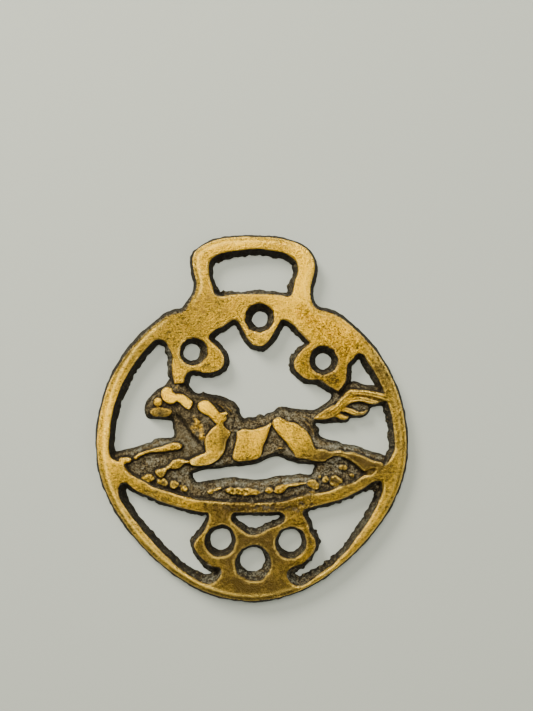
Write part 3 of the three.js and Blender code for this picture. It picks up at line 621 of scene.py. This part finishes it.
bodyField = field(outline(horseBody)) + 0.12 * coarse
bodyTop = ledgeHeight + (plate["bodyHeight"] - ledgeHeight) * ramp(bodyField, -0.4, 0.6)
relief = np.where(bodyField > -0.4, bodyTop, -9.0)
relief = relief + 0.1 * coarse + 0.07 * middling + 0.04 * grit
mounds = patches([
    (-14.1, 4.6, 1.3, 1.8, 0.6), (-12.7, 2, 1, 1.3, 0.35), (-16.6, 8.6, 1.2, 0.7, 0.3),
    (3.5, 0.4, 1.6, 2.2, -0.25),
    (-21.4, -9.1, 3.4, 0.9, 0.45), (-17, -10.4, 1.8, 0.8, 0.3), (14.3, -10.6, 2.2, 1.4, 0.45),
    (19.4, -8.8, 2.6, 1.4, 0.3), (4, -12.9, 6, 0.6, 0.4), (-10.5, 10.9, 3.5, 0.8, 0.3),
    (6.5, -0.6, 2.4, 0.6, 0.4), (13, 4.6, 1.6, 1.6, 0.25), (-5.2, 0.6, 0.5, 3, 0.3),
])
relief = relief + mounds * (1 + 0.5 * middling + 0.35 * grit)
rubbed = np.zeros(gridX.shape)
for amount, width, line in strokes:
    away = lineDistance(smoothCurve(line, False, 0.4), 2.0, False)
    mark = np.exp(-((away / width) ** 2))
    relief = relief + amount * mark
    ledge = ledge + 0.6 * amount * mark
    rubbed = np.maximum(rubbed, ramp(amount * mark, 0.2, 0.8) * 0.3)
for name, (rise, flank, droop, part) in highParts.items():
    away = field(outline([part], 0.3), 2.5) + 0.07 * coarse + 0.05 * middling
    acrossFall, upFall = lean.get(name, (0, 0))
    middleX, middleY = np.mean(part, axis=0)
    tilt = acrossFall * (gridX - middleX) + upFall * (gridY - middleY)
    relief = higher(relief, pillow(away, rise, flank, droop, ledgeHeight - 0.2, tilt), 0.12)
    rubbed = np.maximum(rubbed, ramp(away, -0.2, 0.08) * dullness.get(name, 1.0))
for rise, part in pebbles:
    away = field(outline([part], 0.3), 2.5) + 0.2 * coarse + 0.22 * middling + 0.06 * grit
    uneven = 0.28 * lump + 0.08 * grit - 0.08 * ramp(away, 0.3, 1.0)
    relief = higher(relief, pillow(away, rise + 0.1 + uneven, 0.45, 0.15, ledgeHeight - 0.2), 0.2)
    rubbed = np.maximum(rubbed, ramp(away, -0.2, 0.15) * (0.9 - 0.3 * ramp(away, 0.3, 0.7)))
relief = np.minimum(relief, 3.6 * edge + 0.1)
# Dull gold where the recesses are rubbed through
halfRubbed = patches([
    (-14, 4.6, 1.6, 2, 0.75), (-12.6, 1.8, 1.1, 1.6, 0.5), (-22.5, -8.8, 3.5, 0.8, 0.4),
    (-18.5, -9.8, 2.2, 1, 0.4),
    (-16.2, -10.8, 2, 0.7, 0.35), (14.2, -10.8, 2.2, 1.5, 0.45), (13, -12.3, 2.5, 0.7, 0.4),
    (19.5, -9, 2.6, 1.3, 0.35),
    (-5.3, 0.5, 0.8, 3.2, 0.35), (6, -1.8, 3.5, 0.8, 0.3), (-18.6, 14.4, 1.2, 1.2, 0.4),
    (4, -12.8, 8, 0.7, 0.35),
    (22, -5.9, 1.8, 1.2, 0.3), (24, 11.5, 5, 1, 0.2), (-20.5, -5.5, 1.2, 0.6, 0.3),
    (-30.5, -3.9, 1.5, 0.7, 0.4),
    (12.5, 6.1, 2, 0.8, 0.2), (-25.5, -4.9, 4, 1.6, 0.14),
])
broken = ramp(0.7 * middling + 0.5 * grit + 0.4 * lump, -0.4, 0.5)
rubbed = np.maximum(rubbed, halfRubbed * (0.6 + 0.5 * broken))
rubbed = np.where(panelField > 0, rubbed * ramp(overWindow, 0.2, 0.8), 0)
polish = np.maximum(polish, rubbed)
height = higher(height, higher(ledge, relief, 0.4), 0.35)

# Wear of the rubbed faces: fine grain, pits where the casting was poor, and single pits
pits = ramp(0.9 * roughness(0.36, 16) + 0.3 * middling + 0.15 * coarse, 0.05, 0.55)
height = height - wear["pitting"] * pitted * pits * polish
crumbs = lumpy * ramp(lump, -0.5, 0.8)
height = height - wear["crumbling"] * crumbs * ramp(height, 2.2, 3.4)
for depth, width, line in grooves:
    away = lineDistance(smoothCurve(line, False, 0.25), 1.4, False)
    height = height - depth * np.exp(-((away / width) ** 2)) * ramp(height, 2.4, 3.1)
height = height + wear["faceGrain"] * polish * (grit + 0.9 * middling)
for x, y, radius, depth in (
    (-16.4, 29.1, 0.35, 0.3), (-8.7, 33.1, 0.3, 0.2), (3.4, 49.9, 0.25, 0.3), (7, 49.2, 0.35, 0.35),
    (-0.2, 27.1, 0.3, 0.3), (-0.9, 26.6, 0.25, 0.25), (1.2, -28, 0.3, 0.1), (-30.5, -18, 0.35, 0.2),
    (-29.5, -19.6, 0.3, 0.2), (21, -28, 0.35, 0.2), (24.6, -24.5, 0.3, 0.2), (5.2, -25.6, 0.3, 0.15),
):
    height = height - depth * around(x, y, radius)
height = np.minimum(height, thickness)
print("heights ready:", height.shape)


def skin(values):
    # triangles over the grid wherever the height is above the back, cut cleanly along its foot
    index = np.arange(values.size).reshape(values.shape)
    a, b, c, d = (index[rows, columns].ravel() for rows, columns in (
        (slice(0, -1), slice(0, -1)), (slice(0, -1), slice(1, None)),
        (slice(1, None), slice(1, None)), (slice(1, None), slice(0, -1)),
    ))
    corners = np.vstack([np.stack([a, b, c], 1), np.stack([a, c, d], 1)])
    flat = values.ravel()
    above = flat[corners] > 0
    count = above.sum(1)

    def turned(which, odd):
        start = np.argmax(above[which] == odd, axis=1)
        picked = corners[which]
        return [picked[np.arange(len(picked)), (start + k) % 3] for k in range(3)]

    def cut(p, q):
        return np.minimum(p, q) * values.size + np.maximum(p, q) + values.size

    one = turned(count == 1, True)
    two = turned(count == 2, False)
    faces = np.vstack([
        corners[count == 3],
        np.stack([one[0], cut(one[0], one[1]), cut(one[0], one[2])], 1),
        np.stack([cut(two[0], two[1]), two[1], two[2]], 1),
        np.stack([cut(two[0], two[1]), two[2], cut(two[0], two[2])], 1),
    ])
    codes, faces = np.unique(faces, return_inverse=True)
    faces = faces.reshape(-1, 3)
    onFoot = codes >= values.size
    p = np.where(onFoot, (codes - values.size) // values.size, codes)
    q = np.where(onFoot, (codes - values.size) % values.size, codes)
    share = np.where(onFoot, flat[p] / np.where(onFoot, flat[p] - flat[q], 1), 0)
    x = gridX.ravel()[p] * (1 - share) + gridX.ravel()[q] * share
    y = gridY.ravel()[p] * (1 - share) + gridY.ravel()[q] * share
    z = np.where(onFoot, 0, flat[p])
    return np.stack([x, y, z], 1), faces, onFoot


def sample(values, x, y):
    u = np.clip((x - xs[0]) / plate["cell"], 0, len(xs) - 1.001)
    v = np.clip((y - ys[0]) / plate["cell"], 0, len(ys) - 1.001)
    i, j = u.astype(int), v.astype(int)
    u, v = u - i, v - j
    low = values[j, i] * (1 - u) + values[j, i + 1] * u
    high = values[j + 1, i] * (1 - u) + values[j + 1, i + 1] * u
    return low * (1 - v) + high * v


def store(mesh, name, values):
    attribute = mesh.attributes.new(name, "FLOAT", "POINT")
    attribute.data.foreach_set("value", np.ascontiguousarray(values, np.float32))


top, faces, onFoot = skin(height)
back = np.flatnonzero(~onFoot)
backIndex = np.arange(len(top))
backIndex[back] = len(top) + np.arange(len(back))
under = top[back].copy()
under[:, 2] = 0
points = np.vstack([top, under])
triangles = np.vstack([faces, backIndex[faces][:, ::-1]])
points[:, :2] -= plate["middle"]
print("skin:", len(triangles), "triangles")

mesh = bpy.data.meshes.new("castBrass")
mesh.from_pydata(points / 1000, [], triangles.tolist())
meshX, meshY = points[:, 0] + plate["middle"][0], points[:, 1] + plate["middle"][1]
onTop = np.arange(len(points)) < len(top)
asCast = np.where(onTop, 1 - 0.85 * sample(polish, meshX, meshY), 0.25)
store(mesh, "asCast", asCast)
casting = bpy.data.objects.new("castBrass", mesh)
bpy.context.scene.collection.objects.link(casting)

grainLook = {
    "Grain": 0.00055,  # size of the grains of the moulding sand, in m
    "Amount": 0.00016,  # how far they move the skin
    "Lumps": 0.0016,
    "Lump Amount": 0.00012,
    "Seed": 7.0,
}


def plug(tree, socket, value):
    if isinstance(value, bpy.types.NodeSocket):
        tree.links.new(value, socket)
    else:
        socket.default_value = value


def castGrainTree(look, low, high):
    # moves the skin in and out like sand-cast metal, and keeps it inside a box
    tree = bpy.data.node_groups.new("castGrain", "GeometryNodeTree")
    face = tree.interface
    face.new_socket("Geometry", in_out="INPUT", socket_type="NodeSocketGeometry")
    for name, value in look.items():
        face.new_socket(name, in_out="INPUT", socket_type="NodeSocketFloat").default_value = value
    for name, value in (("Low", low), ("High", high)):
        face.new_socket(name, in_out="INPUT", socket_type="NodeSocketVector").default_value = value
    face.new_socket("Material", in_out="INPUT", socket_type="NodeSocketMaterial")
    face.new_socket("Geometry", in_out="OUTPUT", socket_type="NodeSocketGeometry")
    given = tree.nodes.new("NodeGroupInput").outputs

    def node(kind, settings=(), **links):
        made = tree.nodes.new(kind)
        for name, value in settings:
            setattr(made, name, value)
        for key, value in links.items():
            plug(tree, made.inputs[int(key[1:])] if key[0] == "_" else made.inputs[key], value)
        return made

    def worked(operation, a, b, kind="ShaderNodeMath"):
        return node(kind, [("operation", operation)], _0=a, _1=b).outputs[0]

    place = node("GeometryNodeInputPosition").outputs[0]
    amounts = []
    for size, amount in (("Grain", "Amount"), ("Lumps", "Lump Amount")):
        often = worked("DIVIDE", 1.0, given[size])
        noise = node(
            "ShaderNodeTexNoise", [("noise_dimensions", "4D")],
            Vector=place, W=given["Seed"], Scale=often, Detail=1.0,
        ).outputs["Fac"]
        centred = worked("SUBTRACT", noise, 0.5)
        amounts.append(worked("MULTIPLY", centred, given[amount]))
    moved = worked("ADD", *amounts)
    share = node("GeometryNodeInputNamedAttribute", [("data_type", "FLOAT")], Name="asCast").outputs[0]
    moved = worked("MULTIPLY", moved, share)
    moved = worked("MULTIPLY", moved, 2.0)
    normal = node("GeometryNodeInputNormal").outputs[0]
    shift = node("ShaderNodeVectorMath", [("operation", "SCALE")], _0=normal, Scale=moved).outputs[0]
    shifted = worked("ADD", place, shift, "ShaderNodeVectorMath")
    shifted = worked("MAXIMUM", shifted, given["Low"], "ShaderNodeVectorMath")
    shifted = worked("MINIMUM", shifted, given["High"], "ShaderNodeVectorMath")
    shape = node("GeometryNodeSetPosition", Geometry=given["Geometry"], Position=shifted).outputs[0]
    shape = node("GeometryNodeRealizeInstances", Geometry=shape).outputs[0]
    shape = node("GeometryNodeSetMaterial", Geometry=shape, Material=given["Material"]).outputs[0]
    result = tree.nodes.new("NodeGroupOutput")
    tree.links.new(shape, result.inputs[0])
    return tree


def setInput(modifier, name, value):
    sockets = modifier.node_group.interface.items_tree
    found = next(s for s in sockets if s.name == name and s.in_out == "INPUT")
    modifier[found.identifier] = value


detail = {
    "triangles": 190000,
    "margin": 2e-6,  # how far the skin stays inside the solid's box, in m
}
low = [c + detail["margin"] for c in cadBox[0]]
high = [c - detail["margin"] for c in cadBox[1]]
low[2] = 0.0
brass = bpy.data.materials.new("wornCastBrass")
grain = casting.modifiers.new("grain", "NODES")
grain.node_group = castGrainTree(grainLook, low, high)
for name, value in grainLook.items():
    setInput(grain, name, value)
setInput(grain, "Low", low)
setInput(grain, "High", high)
setInput(grain, "Material", brass)
thin = casting.modifiers.new("thin", "DECIMATE")
thin.ratio = detail["triangles"] / len(triangles)
evaluated = casting.evaluated_get(bpy.context.evaluated_depsgraph_get())
thinned = bpy.data.meshes.new_from_object(evaluated)
casting.modifiers.remove(thin)
casting.modifiers.remove(grain)
casting.data = thinned
bpy.data.meshes.remove(mesh)
print("thinned:", len(thinned.polygons), "triangles")
casting.name = "cast_brass_plate"


# Where the brass is lighter or darker: some real tarnish variation, with painted reflection and shade,
# lighter towards the loop and darker towards the bottom, and painted highlights on the cheek, neck, loop
# and left rim: x, y, reach across, reach up, amount
brassToneAndPaintedLight = [
    (0, 44, 22, 12, 0.18), (12, 42, 4, 8, 0.42), (-13, 40, 3, 8, -0.08), (-3, 49, 8, 3, 0.1),
    (-19, 28, 10, 8, -0.2),
    (-6, 34, 10, 4, -0.08), (17, 19, 5, 5, -0.12), (16, 20, 6, 6, 0.05), (-12, 10, 9, 5, 0.45),
    (-9, 3, 4, 5, -0.1),
    (0, 2, 8, 3, 0.2), (6, 4, 4, 4, 0.15), (22, -4, 8, 3.5, -1.1), (24, 10, 10, 4, -0.15),
    (-20, 12, 4, 3, 0.45),
    (-14, 8, 3, 3, 0.45), (8, 32, 10, 6, 0.18), (-29, 22, 5, 6, -0.3), (31, 19, 4, 6, -0.35),
    (-6.9, 0.3, 1.5, 4, -0.5), (12, -2, 3, 3, -0.1),
    (34, 0, 4, 16, -0.2), (0, -15, 14, 4, -0.22), (0, -25, 12, 8, -0.66), (0, -35, 16, 5, -0.42),
    (0, -15, 9, 1.5, -0.25), (17, -10.5, 6, 3, -0.15),
    (-24, -24, 12, 12, -0.15), (25, -25, 12, 12, -0.08), (-20, -9, 14, 5, -0.18),
    (22, -10, 12, 4, -0.24),
    (-35, 4, 3, 9, 0.5), (-25.5, 25, 6, 5, 0.1), (20, 27, 7, 5, 0.38), (-22.5, 7.8, 2.4, 1.2, -0.5),
]
# Where brown stain lies in the grain
brassStain = [
    (-14, 34, 8, 6, 0.8), (0, 34, 8, 3, 0.6), (-24, 25, 8, 6, 0.45), (20, 22, 8, 10, 0.4),
    (-34, -8, 5, 16, 0.4), (-22, -28, 12, 8, 0.5), (0, -26, 14, 12, 0.5), (24, -24, 12, 10, 0.4),
    (0, -15, 16, 3, 0.8), (22, -4, 8, 4, 0.4), (18, 7, 5, 3, 0.6), (34, 10, 5, 20, 0.3),
    (-12, 9, 8, 5, 0.3), (0, 45, 20, 8, 0.35), (0, 0, 12, 6, 0.3),
]
# How far in from the outer edge the face is black
outerStain = [
    (-17, 33, 6, 6, 0.7), (-28, 26, 9, 9, 0.5), (17, 33, 5, 6, 0.45), (27, 26, 8, 8, 0.2),
    (-36, 5, 4, 14, 0.05),
    (0, 51, 16, 2, 0.15), (-32, -18, 5, 8, 0.2), (0, -38, 20, 3, 0.15),
]
# Where the recesses are smoother or sandier
recessSand = [
    (-26, 0, 8, 3, -0.3), (-16, 2, 5, 6, -0.35), (-10, 11, 6, 3, -0.3), (-25, -4.5, 5, 2, 0.1),
    (25, -1, 8, 3, 0.25), (0, -28.6, 5, 5, 0.25), (10, 6, 8, 3, 0.2), (20, -7, 8, 4, 0.2),
    (-34, 6, 2, 12, -0.2), (0, 47, 14, 2, -0.5), (-27, -22, 9, 10, -0.35), (27, -21, 9, 10, -0.3),
]
# Where the recesses are grey-green rather than brown, and lighter or darker: grey-green patina, with
# painted light on walls that face the lights, such as the slot's lower wall and the bottom hole, and
# painted shade on walls that face away, such as the slot's top wall
recessOliveAndLight = [
    (-26, 0.5, 8, 2, 0.5), (25, -1, 8, 3, 0.45), (0, -28.6, 5, 5, 0.5), (9, -23.5, 4, 4, 0.3),
    (-8, -23, 5, 5, -0.3), (27, 15, 4, 3, -0.1), (0, 36.5, 12, 1.2, 0.3), (0, 47.5, 14, 2, -0.4),
    (-11, -31.5, 4, 3, 0.4), (11, -31.5, 4, 3, 0.5), (0, -7, 16, 2.5, 0.35), (-34, 5, 2, 14, -0.3),
    (-27, -22, 8, 8, 0.1), (26, -20, 8, 8, 0.25), (-20, 9, 6, 6, -0.3), (-10, 11, 5, 3, -0.3),
    (6, -9, 14, 3, 0.2), (24, 9, 5, 2, 0.35), (0, -18, 7, 3, 0.3), (-20.9, 21.5, 1, 4, 0.4),
    (-25, -4.7, 4, 1.5, 0.15),
]


def places(mesh):
    co = np.empty(len(mesh.vertices) * 3, np.float32)
    mesh.vertices.foreach_get("co", co)
    return co.reshape(-1, 3) * 1000


def keepInBox(mesh):
    kept = np.clip(places(mesh) / 1000, low, high)
    mesh.vertices.foreach_set("co", kept.astype(np.float32).ravel())
    mesh.update()


keepInBox(thinned)
at = places(thinned)
x, y, z = at[:, 0] + plate["middle"][0], at[:, 1] + plate["middle"][1], at[:, 2]
solid = np.clip(height, 0, thickness)
bulge = solid - blurred(solid, 0.35)
gradY, gradX = np.gradient(blurred(height, 0.25), plate["cell"])
steep = np.hypot(gradX, gradY)
onWall = ramp(steep, 0.7, 2.2)
facingUp = -gradY / np.maximum(steep, 0.1)
facingLeft = gradX / np.maximum(steep, 0.1)
# Rubbed edges show bare metal; a painted highlight is added on edges facing up and left towards the lights,
# weakened towards the bottom as painted shade, and along the bevel's inner edge.
wornEdgeAndHighlight = ramp(bulge, 0.03, 0.13) * polish * (0.65 + 0.35 * ramp(facingUp - 0.3 * facingLeft, -0.5, 0.6))
wornEdgeAndHighlight = wornEdgeAndHighlight * (1 - np.clip(patches([(0, -27, 17, 11, 0.45)]), 0, 1))
bevelLine = np.exp(-(((plateField - bevelWidth - 0.1) / 0.28) ** 2)) * (bevelSide * 1.4 - 0.4)
wornEdgeAndHighlight = np.maximum(wornEdgeAndHighlight, 0.75 * np.clip(bevelLine, 0, 1) * polish)
edgeStain = np.clip(patches(outerStain), 0, 1)
polish = polish * ramp(plateField - edgeStain + 0.06 * coarse, -0.15, 0.1)
polish = polish * (1 - 0.45 * pitted * pits) * (1 - 0.6 * crumbs)
knobs = ramp(bulge, 0.05, 0.16) * ramp(solid, 1.9, 2.4)
knobs = knobs * ramp(panelField, 1.3, 2) * ramp(overWindow, 0.8, 1.6)
polish = np.maximum(polish, 0.4 * knobs)
# brightness of the brass: some real tarnish variation, with painted reflection and shade, lighter towards
# the loop and darker towards the bottom, and painted highlights
toneAndPaintedLight = 0.5 + patches(brassToneAndPaintedLight)
stain = np.clip(patches(brassStain), 0, 1)
# darker on the sloping outer bevel: painted shade, weaker on the right
bevel = (1 - ramp(bevelRise, 0.5, 1)) * (bevelSide * 1.4 - 0.4)
onBack = z < 1e-4
# darker deep in crevices and narrow gaps: painted shade, with dirt; outside marks the outer wall, darkened
# below as painted shade
crevice = ramp(blurred(solid, 0.9) - solid, 0.05, 0.55)
outside = ramp(-plateField, -0.1, 0.2)
tight = ramp(blurred(solid, 0.4) - solid, 0.02, 0.22)
# walls darker as oxidised metal, and lighter where they face up and left towards the lights: painted light
wallPatinaAndLight = onWall * (-0.34 + 0.08 * facingUp + 0.07 * facingLeft)
greyerAndLit = patches(recessOliveAndLight)
# brightness of the recesses: grey-green patina, with painted light on walls facing the lights and painted
# shade in crevices, gaps and on the outer wall
recessPatinaAndLight = np.clip(0.45 * greyerAndLit + 0.48 + wallPatinaAndLight - 0.2 * crevice - 0.24 * tight - 0.4 * outside, 0, 1)
grey = np.clip(1.2 * greyerAndLit + 0.45 - 0.4 * crevice, 0, 1)
pinholes = np.clip(pitted + 0.8 * lumpy + 0.12, 0, 1)
grainy = np.clip(patches(recessSand) + 0.75, 0, 1)
surface = {  # what the material reads: its values over the face, and its value on the back
    "polish": (polish, 0.3), "wornEdgeAndHighlight": (wornEdgeAndHighlight, 0), "toneAndPaintedLight": (toneAndPaintedLight, 0.3), "stain": (stain, 0.6),
    "bevel": (bevel, 0), "grey": (grey, 0.5), "pitted": (pinholes, 0.4), "recessPatinaAndLight": (recessPatinaAndLight, 0.5),
    "grainy": (grainy, 0.7),
}
for name, (values, backValue) in surface.items():
    store(thinned, name, np.where(onBack, backValue, sample(values, x, y)))
thinned.polygons.foreach_set("use_smooth", np.ones(len(thinned.polygons), bool))


def addNode(tree, kind, values=None, **settings):
    node = tree.nodes.new(kind)
    for name, value in settings.items():
        setattr(node, name, value)
    for name, value in (values or {}).items():
        plug(tree, node.inputs[name], value)
    return node


def mixColour(tree, share, first, second):
    node = tree.nodes.new("ShaderNodeMix")
    node.data_type = "RGBA"
    for socket, value in ((node.inputs[0], share), (node.inputs[6], first), (node.inputs[7], second)):
        plug(tree, socket, value)
    return node.outputs[2]


def combine(tree, operation, a, b=0.0, c=0.0, clamp=False):
    node = tree.nodes.new("ShaderNodeMath")
    node.operation, node.use_clamp = operation, clamp
    for socket, value in zip(node.inputs, (a, b, c)):
        plug(tree, socket, value)
    return node.outputs[0]


def spread(tree, value, low, high, toLow=0.0, toHigh=1.0):
    node = addNode(tree, "ShaderNodeMapRange", {
        "Value": value, "From Min": low, "From Max": high, "To Min": toLow, "To Max": toHigh,
    }, interpolation_type="SMOOTHSTEP")
    return node.outputs[0]


brassLook = {
    # share along the tone, colour
    "rubbed": [
        (0.0, (0.07, 0.045, 0.01, 1)), (0.25, (0.19, 0.121, 0.013, 1)), (0.5, (0.4, 0.236, 0.012, 1)),
        (0.75, (0.74, 0.405, 0.006, 1)), (1.0, (1.0, 0.565, 0.002, 1)),
    ],
    "recess": [
        (0.0, (0.008, 0.0052, 0.0015, 1)), (0.3, (0.038, 0.026, 0.008, 1)), (0.55, (0.12, 0.086, 0.032, 1)),
        (0.8, (0.17, 0.135, 0.07, 1)), (1.0, (0.26, 0.215, 0.135, 1)),
    ],
    "greyRecess": [
        (0.0, (0.008, 0.0085, 0.006, 1)), (0.3, (0.036, 0.036, 0.024, 1)), (0.55, (0.115, 0.115, 0.078, 1)),
        (0.8, (0.165, 0.163, 0.118, 1)), (1.0, (0.25, 0.248, 0.185, 1)),
    ],
    "pit": (0.05, 0.03, 0.01, 1),
    "brown": (0.12, 0.073, 0.026, 1),
    "bareAndHighlight": (1.0, 0.68, 0.13, 1),  # bare metal at rubbed edges, and the painted highlight on edges facing the lights and along the bevel line
}


def colourRamp(tree, share, stops):
    node = addNode(tree, "ShaderNodeValToRGB", {"Fac": share})
    elements = node.color_ramp.elements
    elements[0].position, elements[0].color = stops[0]
    elements[1].position, elements[1].color = stops[-1]
    for position, colour in stops[1:-1]:
        elements.new(position).color = colour
    return node.outputs["Color"]


def paintCastBrass(material, look):
    material.use_nodes = True
    tree = material.node_tree
    shader = tree.nodes["Principled BSDF"]
    place = addNode(tree, "ShaderNodeTexCoord").outputs["Object"]
    names = ("polish", "wornEdgeAndHighlight", "toneAndPaintedLight", "stain", "bevel", "recessPatinaAndLight", "grainy", "grey", "pitted")
    part = {n: addNode(tree, "ShaderNodeAttribute", attribute_name=n).outputs["Fac"] for n in names}

    def noise(scale, detail, rough=0.55):
        values = {"Vector": place, "Scale": scale, "Detail": detail, "Roughness": rough}
        return addNode(tree, "ShaderNodeTexNoise", values).outputs["Fac"]

    def total(*terms):
        # the sum of value times weight
        made = 0.0
        for value, weight in terms:
            made = combine(tree, "MULTIPLY_ADD", value, weight, made)
        return made

    blotch, mottle, speckle, fine = noise(150, 3), noise(520, 3), noise(1300, 3, 0.65), noise(2600, 3, 0.7)
    pin = noise(2900, 2, 0.6)
    specks = total((speckle, 1.1), (fine, 1.3), (1.0, -1.2))
    lively = spread(tree, part["toneAndPaintedLight"], 0.0, 0.6, 0.4, 1.0)
    # the rubbed brass's place along its ramp carries the painted reflection, shade and highlights of its
    # brightness, the painted edge highlight and the painted shade of the bevel
    rubbedToneAndLight = total(
        (part["toneAndPaintedLight"], 1.0), (part["wornEdgeAndHighlight"], 0.25), (part["bevel"], -0.26), (blotch, 0.7),
        (mottle, 0.7), (combine(tree, "MULTIPLY", specks, lively), 1.15), (1.0, -0.7),
    )
    rubbed = colourRamp(tree, rubbedToneAndLight, look["rubbed"])
    brownSpots = spread(tree, total((speckle, 0.6), (mottle, 0.5)), 0.53, 0.68)
    brownShare = combine(tree, "MULTIPLY", brownSpots, part["stain"])
    rubbed = mixColour(tree, brownShare, rubbed, look["brown"])
    # lighter towards bare metal at rubbed edges and in the painted edge and bevel highlights
    rubbed = mixColour(tree, combine(tree, "MULTIPLY", part["wornEdgeAndHighlight"], 0.7), rubbed, look["bareAndHighlight"])
    sand = combine(tree, "MULTIPLY", total((speckle, 1.5), (fine, 1.5), (1.0, -1.5)), part["grainy"])
    pinSpots = spread(tree, total((pin, 0.75), (fine, 0.25)), 0.5, 0.6)
    holes = combine(tree, "MULTIPLY", pinSpots, part["pitted"])
    rubbed = mixColour(tree, combine(tree, "MULTIPLY", holes, 0.85), rubbed, look["pit"])
    # the recess colour carries painted light on walls facing the lights and painted shade in crevices
    recessToneAndLight = total((part["recessPatinaAndLight"], 1.0), (mottle, 0.6), (sand, 1.3), (1.0, -0.35))
    deep = colourRamp(tree, recessToneAndLight, look["recess"])
    greySpots = spread(tree, total((mottle, 0.6), (speckle, 0.4)), 0.4, 0.6)
    greyShare = combine(tree, "MULTIPLY", greySpots, part["grey"])
    deep = mixColour(tree, greyShare, deep, colourRamp(tree, recessToneAndLight, look["greyRecess"]))
    shine = spread(tree, total((part["polish"], 1.0), (speckle, 0.35), (1.0, -0.175)), 0.25, 0.75)
    colour = mixColour(tree, shine, deep, rubbed)
    tree.links.new(colour, shader.inputs["Base Color"])
    tree.links.new(combine(tree, "MULTIPLY_ADD", shine, 0.8, 0.2), shader.inputs["Metallic"])
    shader.inputs["Specular IOR Level"].default_value = 0.2
    rough = total((shine, -0.42), (brownShare, 0.2), (part["wornEdgeAndHighlight"], -0.05), (fine, 0.16), (1.0, 0.66))
    tree.links.new(rough, shader.inputs["Roughness"])
    grain = total((speckle, 1.0), (fine, 1.0), (holes, -0.7))
    bump = addNode(tree, "ShaderNodeBump", {"Strength": 0.9, "Distance": 0.00026, "Height": grain})
    tree.links.new(bump.outputs["Normal"], shader.inputs["Normal"])


paintCastBrass(brass, brassLook)
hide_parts("horse_brass")
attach(casting, "root")
print("casting finished")


studio = {
    "floorSize": 3.0,
    "floorColour": (0.37, 0.395, 0.335, 1),
    "worldColour": (0.88, 0.88, 0.84, 1),
    "worldStrength": 0.28,
    "lights": {  # place, size, power, colour
        "overhead": ((-0.02, 0.2, 0.62), 0.34, 4.9, (1, 0.96, 0.9)),
        "key": ((-0.36, 0.5, 0.42), 0.3, 8.8, (1, 0.95, 0.88)),
        "fill": ((0.45, -0.2, 0.55), 0.5, 1.2, (0.93, 0.96, 1)),
    },
    "eye": (2.3, 10.7, 250.0),  # over the face, from the disc's middle, in mm
    "lens": 52.0,
    "turn": (2.53, -0.185),  # degrees from straight down
}


def makeFloor():
    half = studio["floorSize"] / 2
    mesh = bpy.data.meshes.new("floor")
    corners = [(-half, -half, 0), (half, -half, 0), (half, half, 0), (-half, half, 0)]
    mesh.from_pydata(corners, [], [(0, 1, 2, 3)])
    material = bpy.data.materials.new("paleFloor")
    material.use_nodes = True
    shader = material.node_tree.nodes["Principled BSDF"]
    shader.inputs["Base Color"].default_value = studio["floorColour"]
    shader.inputs["Roughness"].default_value = 0.85
    mesh.materials.append(material)
    floor = bpy.data.objects.new("floor", mesh)
    bpy.context.scene.collection.objects.link(floor)


def aimedLight(name, place, size, power, colour):
    light = bpy.data.lights.new(name, "AREA")
    light.shape, light.size, light.energy, light.color = "DISK", size, power, colour
    lamp = bpy.data.objects.new(name, light)
    lamp.location = place
    lamp.rotation_mode = "QUATERNION"
    lamp.rotation_quaternion = lamp.location.to_track_quat("Z", "Y")
    bpy.context.scene.collection.objects.link(lamp)


makeFloor()
for name, light in studio["lights"].items():
    aimedLight(name, *light)
world = bpy.data.worlds.new("studio")
world.use_nodes = True
background = world.node_tree.nodes["Background"]
background.inputs["Color"].default_value = studio["worldColour"]
background.inputs["Strength"].default_value = studio["worldStrength"]
bpy.context.scene.world = world

eyeX, eyeY, eyeZ = studio["eye"]
camera = bpy.data.objects.new("camera", bpy.data.cameras.new("camera"))
camera.data.lens = studio["lens"]
camera.data.clip_start = 0.01
middleX, middleY = plate["middle"]
camera.location = ((eyeX - middleX) / 1000, (eyeY - middleY) / 1000, (thickness + eyeZ) / 1000)
camera.rotation_euler = (math.radians(studio["turn"][0]), math.radians(studio["turn"][1]), 0)
bpy.context.scene.collection.objects.link(camera)
bpy.context.scene.camera = camera
print("floor, lights and camera ready")
